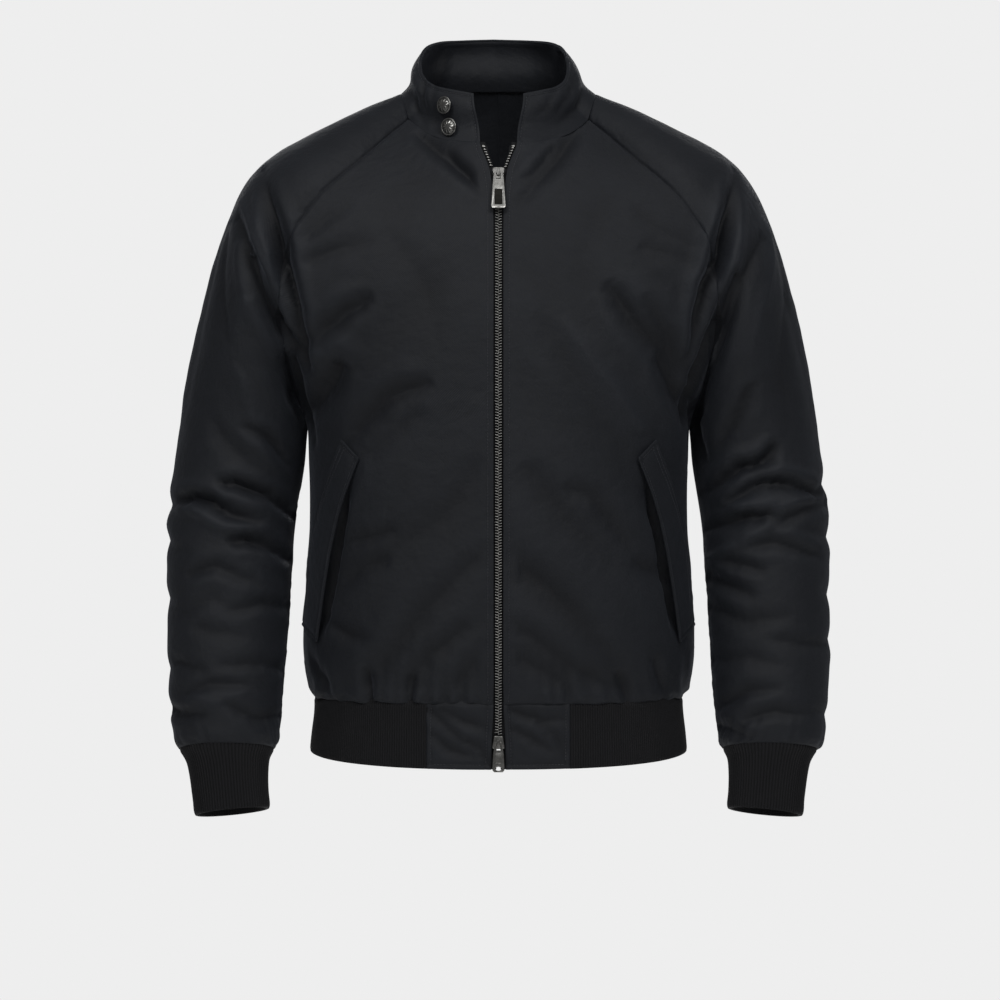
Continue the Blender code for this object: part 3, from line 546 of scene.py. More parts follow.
# Slack of the cloth all over: broad swells, and on the body long ones that run down and outward.
slant = np.stack((np.abs(points[:, 0]) * 0.62 + points[:, 2] * 0.78,
                  np.abs(points[:, 0]) * 0.78 - points[:, 2] * 0.62 + points[:, 1] * 0.3,
                  np.sign(points[:, 0]) * 0.5 + np.sign(points[:, 1] + 0.02) * 0.25), axis=1)
body_swell = waves(slant, (0.034, 0.150, 0.9), 11.3)
arm_swell = waves(points, (0.060, 0.060, 0.045), 4.7)
broad = waves(points, (0.120, 0.120, 0.120), 23.9)
fine = waves(points, (0.020, 0.020, 0.015), 41.2)
moved += 0.0011 * broad + 0.00035 * fine + np.where(on_sleeve, 0.0010 * arm_swell, 0.0021 * body_swell)

# Gathers where the body meets the waistband and the sleeves meet the cuffs, dying out upward.
GATHER_PITCH = 0.016


def gathers(run, height, reach, seed):
    """Short uneven puckers along a seam, at a distance run along it and a height above it."""
    wander = np.array([noise.noise(Vector((value / 0.045, seed, 0.0))) for value in run])
    strength = np.array([noise.noise(Vector((value / 0.030, seed + 7.3, 1.5))) for value in run])
    pucker = np.cos(2 * math.pi * (run / GATHER_PITCH + 0.9 * wander))
    return pucker * np.clip(0.45 + 1.1 * strength, 0.05, 1.3) * np.exp(-np.maximum(height, 0.0) / reach)


def margins(grid):
    """Distances from a sheet's first and last column and its first and last row, in metres."""
    across = np.linalg.norm(np.diff(grid, axis=1), axis=2)
    up = np.linalg.norm(np.diff(grid, axis=0), axis=2)
    along = np.concatenate((np.zeros((len(grid), 1)), np.cumsum(across, axis=1)), axis=1)
    rising = np.concatenate((np.zeros((1, grid.shape[1])), np.cumsum(up, axis=0)))
    return along, along[:, -1:] - along, rising, rising[-1:] - rising


def cloth_runs(grid):
    """Each point's distance along its row from the row's middle, and up its column, in metres."""
    along, _, rising, _ = margins(grid)
    return along - along[:, along.shape[1] // 2][:, None], rising


runs = {name: cloth_runs(sheets[name]) for name in names}
ends = {name: margins(sheets[name]) for name in names}
run = np.concatenate([runs[name][0].ravel() for name in names])
first_end, last_end, height, neck_end = (np.concatenate([ends[name][i].ravel() for name in names])
                                         for i in range(4))
on_front = np.isin(piece, [names.index("front_left"), names.index("front_right")])
is_right = points[:, 0] < 0
# each part of the jacket starts its gathers at a place of its own
low_run = np.where(on_sleeve, run + 0.3 * is_right,
                   np.abs(points[:, 0]) + 0.8 * (points[:, 1] > 0) + 1.7 * is_right)
body_gather = gathers(low_run, height, 0.020, 2.0)
sleeve_gather = gathers(low_run * 1.2, height, 0.013, 9.0)
moved += np.where(on_sleeve, 0.0020 * sleeve_gather, 0.0028 * body_gather) * smooth_step(0.0, 0.005, height)
# the body swells over the waistband seam and the sleeve over the cuff's
moved += np.where(on_sleeve, 0.0010, 0.0016) * np.exp(-((height - 0.009) / 0.007) ** 2)

# Seams: the pressed edges turn in, and the thread draws the cloth in small uneven puckers.
SEAM_DEEP = 0.00065
SEAM_WIDE = 0.0011
FAR = 1.0                     # stands for out of reach, in metres
beside = np.minimum(first_end, last_end)
on_left_front = piece == names.index("front_left")
zip_end = np.where(on_front, np.where(on_left_front, first_end, last_end), FAR)
at_seam = np.where(on_front, np.where(on_left_front, last_end, first_end), beside)
tiny = np.array([noise.noise(Vector((z / 0.0065, x / 0.0065, 3.1))) for x, z in points[:, (0, 2)]])
moved -= SEAM_DEEP * np.exp(-(at_seam / SEAM_WIDE) ** 2)
moved += 0.0003 * np.exp(-((at_seam - 0.0038) / 0.0022) ** 2)
moved += 0.0007 * tiny * np.exp(-((at_seam - 0.005) / 0.006) ** 2)
moved -= SEAM_DEEP * np.exp(-(neck_end / SEAM_WIDE) ** 2)
moved -= 0.0013 * np.exp(-(height / SEAM_WIDE) ** 2)
# the folded front edges: a firm rib beside the zip, sunk along its stitching
FRONT_STITCH = 0.0054
moved += 0.0006 * np.exp(-((zip_end - 0.0028) / 0.0018) ** 2) \
    - 0.0007 * np.exp(-((zip_end - FRONT_STITCH) / 0.0010) ** 2)
moved -= 0.0006 * np.exp(-(zip_end / 0.0009) ** 2)
moved += 0.0003 * tiny * np.exp(-((zip_end - 0.007) / 0.006) ** 2)

# Cloth stays clear of its neighbours: flat against the zip, under the flaps and in the armpits.
DEEPEST = 0.0220              # how far a crease may sink and rise
HIGHEST = 0.0070
armpit = np.exp(-((np.abs(points[:, 0]) - 0.196) / 0.030) ** 2 - (points[:, 1] / 0.045) ** 2) \
    * smooth_step(-0.47, -0.43, points[:, 2]) * (1 - smooth_step(-0.330, -0.300, points[:, 2]))
moved = np.clip(moved, -DEEPEST, HIGHEST)
moved *= smooth_step(-0.001, 0.014, zip_end) * 0.75 + 0.25
moved = np.maximum(moved, -0.0007 - 0.016 * smooth_step(0.011, 0.032, zip_end))
Welt = namedtuple("Welt", "free_x free_z sewn_x sewn_z lift")
FLAP = [Welt(*row) for row in (
    (0.1337, -0.3596, 0.1516, -0.3412, 0.0008),
    (0.1487, -0.4045, 0.1690, -0.3860, 0.0034),
    (0.1590, -0.4495, 0.1815, -0.4310, 0.0038),
    (0.1675, -0.4945, 0.1865, -0.4770, 0.0024),
    (0.1757, -0.5395, 0.1920, -0.5240, 0.0006),
)]
flap_z = np.array([(welt.free_z + welt.sewn_z) / 2 for welt in FLAP])[::-1]
free_edge = np.interp(points[:, 2], flap_z, np.array([welt.free_x for welt in FLAP])[::-1])
sewn_edge = np.interp(points[:, 2], flap_z, np.array([welt.sewn_x for welt in FLAP])[::-1])
aside = np.maximum(0.0, np.maximum(free_edge - 0.006 - np.abs(points[:, 0]),
                                   np.abs(points[:, 0]) - sewn_edge))
above_flap = np.maximum(0.0, np.maximum(flap_z[0] - 0.012 - points[:, 2],
                                        points[:, 2] - flap_z[-1] - 0.012))
from_flap = np.where(on_front, np.hypot(aside, above_flap), FAR)
moved = np.minimum(moved, 0.0001 + 0.0075 * smooth_step(0.0, 0.020, from_flap))
moved = np.maximum(moved, -0.0020 - 0.0145 * smooth_step(0.0, 0.020, from_flap))
moved = np.where(moved > 0, moved * (1 - np.clip(1.15 * armpit, 0.0, 1.0)), moved)
# sewn edges move as one: each side of a seam is brought to the mean of the two, over a centimetre
meeting = same_place(points)
shift = (np.bincount(meeting, moved) / np.bincount(meeting))[meeting] - moved
starts = np.cumsum([0] + counts)
SEAM_SHARE = 0.008            # how far inside a seam the two sides' shared place is still felt
for index, name in enumerate(names):
    part = slice(starts[index], starts[index + 1])
    rows, columns = sheets[name].shape[:2]
    off = shift[part].reshape(rows, columns)
    near_first = np.exp(-(first_end[part].reshape(rows, columns) / SEAM_SHARE) ** 2)
    near_last = np.exp(-(last_end[part].reshape(rows, columns) / SEAM_SHARE) ** 2)
    moved[part] += (off[:, :1] * near_first + off[:, -1:] * near_last).ravel()
# the pocket's mouth: the cloth sinks along the flap's free edge
mouth = on_front * smooth_step(-0.545, -0.500, points[:, 2]) \
    * (1 - smooth_step(-0.425, -0.375, points[:, 2]))
moved -= 0.0092 * mouth * np.exp(-((np.abs(points[:, 0]) - free_edge + 0.0012) / 0.0040) ** 2)
made_points = points + out * moved[:, None]
# the creases' depth, kept on the cloth to paint shade into its colour where it sinks and wear where it
# rises
depth_mark = np.clip(moved / 0.006, -1.0, 1.0)


def seam_sway(x, y):
    """The waistband seam's small ups and downs where the gathers pull it, none beside the zip."""
    turn = np.arctan2(x, -y) * 0.19
    sway = np.array([noise.noise(Vector((value / 0.020, 5.5, 0.0))) for value in np.atleast_1d(turn)])
    return 0.0017 * sway * smooth_step(0.07, 0.10, np.abs(x) + np.maximum(y, 0.0))


made_points[~on_sleeve, 2] += seam_sway(points[~on_sleeve, 0], points[~on_sleeve, 1]) \
    * np.exp(-height[~on_sleeve] / 0.012)


def linear(code):
    """A colour given as sRGB hex, as Blender's linear RGBA."""
    parts = [int(code[i:i + 2], 16) / 255 for i in (1, 3, 5)]
    return tuple(part / 12.92 if part <= 0.04045 else ((part + 0.055) / 1.055) ** 2.4
                 for part in parts) + (1.0,)


def add_node(tree, kind, inputs=None, **settings):
    """A node with its settings; each input is a value, or another node's output to link."""
    made = tree.nodes.new(kind)
    for name, value in settings.items():
        setattr(made, name, value)
    for name, value in (inputs or {}).items():
        if isinstance(value, bpy.types.NodeSocket):
            tree.links.new(value, made.inputs[name])
        else:
            made.inputs[name].default_value = value
    return made


MIX_A, MIX_B, MIX_RESULT = 6, 7, 2       # a Mix node's colour sockets


def principled(name, roughness, metallic=0.0, **fixed):
    """A new material and its shader, with what is the same all over the surface set on it."""
    made = bpy.data.materials.new(name)
    made.use_nodes = True
    shader = made.node_tree.nodes["Principled BSDF"]
    shader.inputs["Roughness"].default_value = roughness
    shader.inputs["Metallic"].default_value = metallic
    for socket, value in fixed.items():
        shader.inputs[socket.replace("_", " ")].default_value = value
    return made, made.node_tree, shader


def brushed_twill():
    """Brushed cotton twill, dyed near black: matt, with a soft nap that lights up at its edges.

    The yarns are 0.35 mm apart, too fine to show, so the twill line is drawn at 1.1 mm.
    """
    made, tree, shader = principled("brushed_cotton_twill", 0.62, Sheen_Weight=0.14, Sheen_Roughness=0.40,
                                    Specular_IOR_Level=0.32)
    shader.inputs["Sheen Tint"].default_value = linear("#b9c0cf")
    cloth = add_node(tree, "ShaderNodeUVMap", uv_map="cloth").outputs["UV"]
    relief = add_node(tree, "ShaderNodeAttribute", attribute_name="relief").outputs["Fac"]
    mottle = add_node(tree, "ShaderNodeTexNoise",
                      {"Vector": cloth, "Scale": 34.0, "Detail": 4.0, "Roughness": 0.62})
    nap = add_node(tree, "ShaderNodeTexNoise",
                   {"Vector": cloth, "Scale": 620.0, "Detail": 3.0, "Roughness": 0.7})
    twill = add_node(tree, "ShaderNodeTexWave",
                     {"Vector": cloth, "Scale": 400.0, "Distortion": 1.4, "Detail": 2.0,
                                                 "Detail Scale": 1.4}, bands_direction="DIAGONAL")
    ground = add_node(tree, "ShaderNodeMix", {0: mottle.outputs["Fac"], MIX_A: linear("#1b1d22"),
                                              MIX_B: linear("#24272d")}, data_type="RGBA")
    fibre = add_node(tree, "ShaderNodeMapRange",
                     {"Value": nap.outputs["Fac"], "From Min": 0.3, "From Max": 0.75,
                                                  "To Min": 0.0, "To Max": 0.35})
    napped = add_node(tree, "ShaderNodeMix", {0: fibre.outputs["Result"], MIX_A: ground.outputs[MIX_RESULT],
                                              MIX_B: linear("#2f333a")}, data_type="RGBA")
    # Painted shade and wear: the colour is darkened where the cloth sinks into its creases, and lightened
    # by wear where it rises on the ridges.
    crease_shade_and_wear = add_node(tree, "ShaderNodeMapRange", {"Value": relief, "From Min": -0.9, "From Max": 0.9,
                                                   "To Min": 0.0, "To Max": 1.0})
    shade_and_wear_tint = add_node(tree, "ShaderNodeMix", {0: crease_shade_and_wear.outputs["Result"], MIX_A: linear("#a8a8ac"),
                                            MIX_B: linear("#ffffff")}, data_type="RGBA")
    cloth_colour = add_node(tree, "ShaderNodeMix", {0: 1.0, MIX_A: napped.outputs[MIX_RESULT],
                                                    MIX_B: shade_and_wear_tint.outputs[MIX_RESULT]},
                            data_type="RGBA", blend_type="MULTIPLY")
    tree.links.new(cloth_colour.outputs[MIX_RESULT], shader.inputs["Base Color"])
    gloss = add_node(tree, "ShaderNodeMapRange",
                     {"Value": nap.outputs["Fac"], "To Min": 0.54, "To Max": 0.72})
    tree.links.new(gloss.outputs["Result"], shader.inputs["Roughness"])
    weave = add_node(tree, "ShaderNodeMath", {0: nap.outputs["Fac"], 1: twill.outputs["Fac"]},
                     operation="ADD")
    fine_bump = add_node(tree, "ShaderNodeBump", {"Height": weave.outputs["Value"], "Distance": 0.00022,
                                                  "Strength": 0.55})
    slack = add_node(tree, "ShaderNodeTexNoise",
                     {"Vector": cloth, "Scale": 95.0, "Detail": 3.0, "Roughness": 0.55})
    soft_bump = add_node(tree, "ShaderNodeBump", {"Height": slack.outputs["Fac"], "Distance": 0.0012,
                                                  "Strength": 0.75, "Normal": fine_bump.outputs["Normal"]})
    tree.links.new(soft_bump.outputs["Normal"], shader.inputs["Normal"])
    return made


def lay_sheet(name, grid, along, up, relief=None, tube_rows=0, inside=None):
    """A sheet of cloth: a flat grid whose points are laid on the form, with a cloth map in metres.

    Over its first tube_rows rows a sheet is closed round, and its two edges are joined there.
    A ribbed sheet is given the points of its smooth inside too.
    """
    rows, columns = grid.shape[:2]
    bpy.ops.object.select_all(action="DESELECT")
    bpy.ops.mesh.primitive_grid_add(x_subdivisions=columns - 1, y_subdivisions=rows - 1, size=1.0)
    made = bpy.context.active_object
    made.name = made.data.name = name
    mesh = made.data
    mesh.vertices.foreach_set("co", grid.astype(np.float32).ravel())
    corner = np.empty(len(mesh.loops), dtype=np.int32)
    mesh.loops.foreach_get("vertex_index", corner)
    cloth = np.stack((along.ravel(), up.ravel()), axis=1)[corner]
    mesh.uv_layers[0].name = "cloth"
    mesh.uv_layers[0].data.foreach_set("uv", cloth.astype(np.float32).ravel())
    mark = mesh.attributes.new("relief", "FLOAT", "POINT")
    relief = np.zeros(rows * columns) if relief is None else relief
    mark.data.foreach_set("value", relief.astype(np.float32).ravel())
    if inside is not None:
        kept = mesh.attributes.new("inside", "FLOAT_VECTOR", "POINT")
        kept.data.foreach_set("vector", inside.astype(np.float32).ravel())
    mesh.update()
    if tube_rows:
        closing = np.zeros(rows * columns, dtype=bool).reshape(rows, columns)
        closing[:tube_rows, (0, -1)] = True
        join_points(made, closing.ravel())
    return made


def join_points(piece, chosen):
    """Merges a piece's chosen points where they coincide."""
    bpy.context.view_layer.objects.active = piece
    piece.data.vertices.foreach_set("select", chosen)
    bpy.ops.object.mode_set(mode="EDIT")
    bpy.ops.mesh.select_mode(type="VERT")
    bpy.ops.object.mode_set(mode="OBJECT")
    piece.data.vertices.foreach_set("select", chosen)
    bpy.ops.object.mode_set(mode="EDIT")
    bpy.ops.mesh.remove_doubles(threshold=0.00005)
    bpy.ops.object.mode_set(mode="OBJECT")


def use_modifier(piece, kind, **settings):
    """Adds a modifier with its settings and applies it."""
    bpy.context.view_layer.objects.active = piece
    modifier = piece.modifiers.new(kind.lower(), kind)
    for name, value in settings.items():
        setattr(modifier, name, value)
    bpy.ops.object.modifier_apply(modifier=modifier.name)


def give_wall(piece, thickness, edge_round=0.0006):
    """Turns a laid sheet into cloth of a thickness with soft cut edges, its face kept outside."""
    use_modifier(piece, "SOLIDIFY", thickness=thickness, offset=-1.0, use_rim=True, use_even_offset=False)
    inside = piece.data.attributes.get("inside")
    if inside:
        count = len(piece.data.vertices)
        place, spot = np.empty(3 * count, np.float32), np.empty(3 * count, np.float32)
        inside.data.foreach_get("vector", place)
        piece.data.vertices.foreach_get("co", spot)
        half = 3 * (count // 2)
        spot[half:] = place[half:]
        piece.data.vertices.foreach_set("co", spot)
        piece.data.attributes.remove(inside)
    use_modifier(piece, "BEVEL", width=edge_round, segments=2, limit_method="ANGLE",
                 angle_limit=math.radians(80), use_clamp_overlap=True)
    piece.data.shade_smooth()


def run_on(grid, lap, tube_rows=0):
    """A sheet with its edges run on past its seams by half the lap."""
    grid = grid.copy()
    half = lap / 2
    for edge, inner in ((grid[0], grid[1]), (grid[-1], grid[-2]),
                        (grid[tube_rows:, 0], grid[tube_rows:, 1]),
                        (grid[tube_rows:, -1], grid[tube_rows:, -2])):
        step = inner - edge
        edge -= step / np.maximum(np.linalg.norm(step, axis=1, keepdims=True), 1e-9) * half
    return grid


twill_cloth = brushed_twill()
# Each panel is laid on the form as a sheet, given its wall and its cloth, and put in place of its part.
laid, laid_out = {}, {}
for index, name in enumerate(names):
    part = slice(starts[index], starts[index + 1])
    shape = sheets[name].shape
    laid[name] = made_points[part].reshape(shape)
    laid_out[name] = out[part].reshape(shape)
    tube = len(ring_places) - 1 if name.startswith("sleeve") else 0
    along, up = runs[name]
    panel = lay_sheet(name + "_cloth", run_on(laid[name], SEAM_LAP, tube), along, up, depth_mark[part],
                      tube + 1 if tube else 0)
    give_wall(panel, SHELL_WALL)
    panel.data.materials.append(twill_cloth)
    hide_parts(name)
    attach(panel, "jacket")

# ---- Stand collar --------------------------------------------------------------------------------
# Two layers of the shell cloth over an interlining, so it stands by itself.  It is sewn to the neck
# edge, turned out and topstitched all round, and worn open, leaning a little to the wearer's right.
COLLAR_WALL = 0.0028
COLLAR_HOLLOW = 0.0028
COLLAR_SWAY = -0.005
COLLAR_UNDER = 0.0010         # how far the collar runs down into its seam
Point = namedtuple("Point", "x y z")
COLLAR_TOP = [Point(*row) for row in (
    (0.0245, -0.0780, -0.0020), (0.0420, -0.0735, 0.0015), (0.0585, -0.0625, 0.0065),
    (0.0690, -0.0460, 0.0165), (0.0735, -0.0200, 0.0355), (0.0690, 0.0100, 0.0535),
    (0.0560, 0.0370, 0.0625), (0.0330, 0.0550, 0.0665), (0.0000, 0.0610, 0.0680),
)]
COLLAR_FOLDS = [
    *creases("right", "collar", "front", [
        (4.2, 2.2, 0.5, (-73.5, 12), (-74.5, -4), (-70, -20)),
        (4, 1.8, 0.5, (-80, -2), (-79, -14), (-73.5, -26)),
        (4.5, 1.2, 0.3, (-64, 4), (-65, -12), (-62, -30)),
    ]),
    *creases("left", "collar", "front", [
        (5, 1.8, 0.4, (74, 16), (70, 0), (60, -16)),
        (4.5, 1.5, 0.4, (81, 0), (76, -14), (64, -26)),
        (5, 1, 0.3, (56, 0), (48, -14), (38, -22)),
    ]),
    *creases("left", "collar", "back", [
        (6, 1.6, 0.3, (62, 52), (64, 30), (56, 10)),
    ]),
    *creases("right", "collar", "back", [
        (6, 1.6, 0.3, (-55, 54), (-60, 34), (-66, 10)),
    ]),
]
seam_line = np.concatenate((front_left[-1], sleeve_left[-1][1:], back_half[-1][-2::-1]))
collar_columns = spread(0.235, 0.0024, seam_last=False)
collar_rows = spread(0.055, 0.0024)
seam = even(seam_line, collar_columns)
top_edge = np.stack([column_at(COLLAR_TOP, axis, collar_columns * (len(COLLAR_TOP) - 1)) for axis in "xyz"],
                    axis=1)
half = []
for rise in collar_rows:
    here = seam + (top_edge - seam) * rise - (0.0, 0.0, COLLAR_UNDER * math.exp(-rise / 0.03))
    outward = here * (1.0, 1.0, 0.0)
    outward /= np.maximum(np.linalg.norm(outward, axis=1, keepdims=True), 1e-9)
    half.append(here - outward * COLLAR_HOLLOW * math.sin(2 * math.pi * rise))
half = np.array(half)
collar_grid = np.concatenate((half, mirrored(half)[:, 1:]), axis=1)
behind = 1 - (np.minimum(collar_grid[..., 1], 0.0) / COLLAR_TOP[0].y) ** 2
collar_grid[..., 0] += COLLAR_SWAY * collar_rows[:, None] * np.maximum(0.0, behind)

EDGE_STITCH = 0.0036
# the small pieces' relief likewise colours their cloth: painted shade where it sinks, wear where it rises
RELIEF_FULL = 0.003           # rise and sinking, in metres, that colour the small pieces' cloth fully


def stitch_dip(distance, inset=EDGE_STITCH):
    """The shallow channel that a row of stitching presses, and the soft roll of the edge beyond it."""
    return 0.00030 * np.exp(-((distance - inset * 0.45) / (inset * 0.42)) ** 2) \
        - 0.00085 * np.exp(-((distance - inset) / 0.0010) ** 2)


def shaped(grid, folds=(), bumps=0.0, bump_size=0.022, extra=0.0):
    """A sheet's points and outward directions after its creases, soft bumps and any extra rise."""
    spots, facing = sewn_normals([grid])
    rise = np.zeros(len(spots))
    for fold in folds:
        rise += crease(fold, spots, facing, spots[:, 0] > 0 if fold.side == "left" else spots[:, 0] < 0)
    if bumps:
        rise += bumps * waves(spots, (bump_size, bump_size, bump_size), 61.7)
    rise += np.ravel(extra)
    return (spots + facing * rise[:, None]).reshape(grid.shape), facing.reshape(grid.shape), rise


def make_cloth(name, node, grid, relief, material, wall,
               tube_rows=0, lap=SEAM_LAP, inside=None):
    along, rising = cloth_runs(grid)
    panel = lay_sheet(name, run_on(grid, lap, tube_rows), along, rising, relief, tube_rows, inside)
    give_wall(panel, wall)
    panel.data.materials.append(material)
    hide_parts(node)
    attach(panel, "jacket")


from_left, from_right, from_seam, from_top = margins(collar_grid)
edge = np.minimum(np.minimum(from_left, from_right), from_top)
collar_rise = stitch_dip(edge) + 0.0003 * np.exp(-(from_seam / 0.0014) ** 2)
collar_shape, collar_out, collar_relief = shaped(collar_grid, COLLAR_FOLDS, 0.0006, 0.030, collar_rise)

# Stitching: dark core-spun thread, small lens-shaped stitches sunk in a channel.
STITCH_LONG = 0.0024
STITCH_PITCH = 0.0031
THREAD_HALF = 0.00028
bpy.ops.object.select_all(action="DESELECT")
bpy.ops.mesh.primitive_uv_sphere_add(segments=6, ring_count=4, radius=1.0)
stitch_pattern = bpy.context.active_object
stitch_pattern.name = "stitch_pattern"


def copies(name, pattern, centres, along, outward, sizes):
    """One piece of many copies of a small pattern: its X runs along, its Z outward."""
    spots = np.array([vertex.co[:] for vertex in pattern.data.vertices])
    faces = [tuple(face.vertices) for face in pattern.data.polygons]
    along = along / np.linalg.norm(along, axis=1, keepdims=True)
    outward = outward - along * (outward * along).sum(axis=1, keepdims=True)
    outward = outward / np.linalg.norm(outward, axis=1, keepdims=True)
    across = np.cross(outward, along)
    sizes = np.broadcast_to(sizes, (len(centres), 3))
    placed = (centres[:, None] + along[:, None] * (spots[None, :, :1] * sizes[:, None, :1])
              + across[:, None] * (spots[None, :, 1:2] * sizes[:, None, 1:2])
              + outward[:, None] * (spots[None, :, 2:] * sizes[:, None, 2:]))
    count = len(spots)
    mesh = bpy.data.meshes.new(name)
    mesh.from_pydata(placed.reshape(-1, 3).tolist(), [],
                     [tuple(corner + i * count for corner in face) for i in range(len(centres))
                      for face in faces])
    mesh.shade_smooth()
    made = bpy.data.objects.new(name, mesh)
    bpy.context.scene.collection.objects.link(made)
    return made


def thread_material():
    """Core-spun polyester thread, dyed to the cloth, a little glossier than it."""
    made, tree, shader = principled("sewing_thread", 0.48, Sheen_Weight=0.1)
    place = add_node(tree, "ShaderNodeTexCoord").outputs["Object"]
    ply = add_node(tree, "ShaderNodeTexNoise", {"Vector": place, "Scale": 2400.0, "Detail": 2.0})
    colour = add_node(tree, "ShaderNodeMix", {0: ply.outputs["Fac"], MIX_A: linear("#202126"),
                                              MIX_B: linear("#45474e")}, data_type="RGBA")
    tree.links.new(colour.outputs[MIX_RESULT], shader.inputs["Base Color"])
    bump = add_node(tree, "ShaderNodeBump", {"Height": ply.outputs["Fac"], "Distance": 0.0001})
    tree.links.new(bump.outputs["Normal"], shader.inputs["Normal"])
    return made


thread = thread_material()


def stitching(name, lines):
    """Rows of stitches along lines of points with their outward directions."""
    centres, along, outward = [], [], []
    for line, facing in lines:
        steps = np.linalg.norm(np.diff(line, axis=0), axis=1)
        length = np.concatenate(([0.0], np.cumsum(steps)))
        at = np.arange(STITCH_PITCH, length[-1] - STITCH_PITCH / 2, STITCH_PITCH)
        spot = np.stack([np.interp(at, length, line[:, axis]) for axis in range(3)], axis=1)
        ahead = np.stack([np.interp(at + STITCH_PITCH / 2, length, line[:, axis]) for axis in range(3)],
                         axis=1)
        face = np.stack([np.interp(at, length, facing[:, axis]) for axis in range(3)], axis=1)
        centres.append(spot + face * THREAD_HALF * 0.45)
        along.append(ahead - spot)
        outward.append(face)
    made = copies(name, stitch_pattern, np.concatenate(centres), np.concatenate(along),
                  np.concatenate(outward),
                  (STITCH_LONG / 2, THREAD_HALF, THREAD_HALF))
    made.data.materials.append(thread)
    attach(made, "jacket")
    return made


def line_inside(grid, facing, distance, side):
    """A line at a distance inside one edge of a sheet, with its outward directions."""
    if side in ("first_column", "last_column"):
        grid, facing = grid.transpose(1, 0, 2), facing.transpose(1, 0, 2)
    if side in ("last_column", "last_row"):
        grid, facing = grid[::-1], facing[::-1]
    depth = np.concatenate((np.zeros((1, grid.shape[1])),
                            np.cumsum(np.linalg.norm(np.diff(grid, axis=0), axis=2), axis=0)))
    line, face = np.empty((grid.shape[1], 3)), np.empty((grid.shape[1], 3))
    for column in range(grid.shape[1]):
        for axis in range(3):
            line[column, axis] = np.interp(distance, depth[:, column], grid[:, column, axis])
            face[column, axis] = np.interp(distance, depth[:, column], facing[:, column, axis])
    return line, face


def trimmed(line_and_face, first, last):
    """The same line without its ends, in metres."""
    line, face = line_and_face
    length = np.concatenate(([0.0], np.cumsum(np.linalg.norm(np.diff(line, axis=0), axis=1))))
    kept = (length >= first) & (length <= length[-1] - last)
    return line[kept], face[kept]


collar_thread = stitching("collar_stitching", [
    trimmed(line_inside(collar_shape, collar_out, EDGE_STITCH, "last_row"), EDGE_STITCH, EDGE_STITCH),
    trimmed(line_inside(collar_shape, collar_out, EDGE_STITCH, "first_column"), 0.002, EDGE_STITCH),
    trimmed(line_inside(collar_shape, collar_out, EDGE_STITCH, "last_column"), 0.002, EDGE_STITCH)])
make_cloth("collar_cloth", "collar", collar_shape, np.clip(collar_relief / RELIEF_FULL, -1, 1), twill_cloth,
           COLLAR_WALL)

# ---- Waistband panels ------------------------------------------------------------------------------
# Plain shell cloth either side of the zip, doubled over, stitched beside the rib and along the hem.
HEM_SIDE_Z = -0.648
HEM_DROP = 0.0115             # how much lower the hem is at the zip than at the sides
WAIST_PANEL_EDGE = 0.0695
PANEL_FOLDS = [
    *creases("right", "panel", "front", [
        (5, 3.2, 0.4, (-64, -604), (-52, -616), (-36, -630)),
        (5, 3.2, 0.4, (-52, -603), (-36, -612), (-18, -618)),
        (5, 2.6, 0.3, (-60, -628), (-46, -640), (-26, -646)),
        (4, 2.4, 0.3, (-30, -632), (-18, -640), (-12, -650)),
    ]),
    *creases("left", "panel", "front", [
        (5, 3.2, 0.4, (16, -603), (34, -610), (56, -612)),
        (5, 2.8, 0.3, (18, -622), (36, -632), (50, -640)),
        (5, 2.6, 0.3, (42, -618), (56, -628), (64, -642)),
    ]),
]


def section_angle(x, z):
    """The angle of a waistband section at which it is x from the centre line."""
    square = level("square", z)
    return math.asin(min(1.0, (x / float(level("half_width", z))) ** (float(square) / 2)))


def band_line(share, side, first_angle, last_angle):
    """A fine line round part of the waistband, share 0 at its seam and 1 at the hem."""
    angle = np.linspace(first_angle, last_angle, 400)
    drop = HEM_DROP * np.maximum(0.0, np.cos(angle)) if side < 0 else 0.0 * angle
    z = BAND_SEAM_Z + (HEM_SIDE_Z - drop - BAND_SEAM_Z) * share
    deep, square = level("front" if side < 0 else "back", z), level("square", z)
    x = level("half_width", z) * np.sin(angle) ** (2 / square)
    return np.stack((x, side * deep * np.maximum(0.0, np.cos(angle)) ** (2 / square), z), axis=1)


def sway_seam(grid):
    """Lets a band's upper edge follow the seam's small ups and downs."""
    grid = grid.copy()
    _, rising = cloth_runs(grid)
    down = rising[-1:] - rising
    sway = seam_sway(grid[..., 0].ravel(), grid[..., 1].ravel()).reshape(grid.shape[:2])
    grid[..., 2] += sway * np.exp(-down / 0.010)
    return grid


TUCK_UP = 0.0030              # the bands' seam allowance under the shell
TUCK_IN = 0.0011


def tucked(grid, base, facing):
    """A band with its upper edge run on under the shell's seam, so that no light shows between them."""
    grid = grid.copy()
    onward = base[-1] - base[-2]
    grid[-1] += onward / np.linalg.norm(onward, axis=1, keepdims=True) * TUCK_UP - facing[-1] * TUCK_IN
    return grid


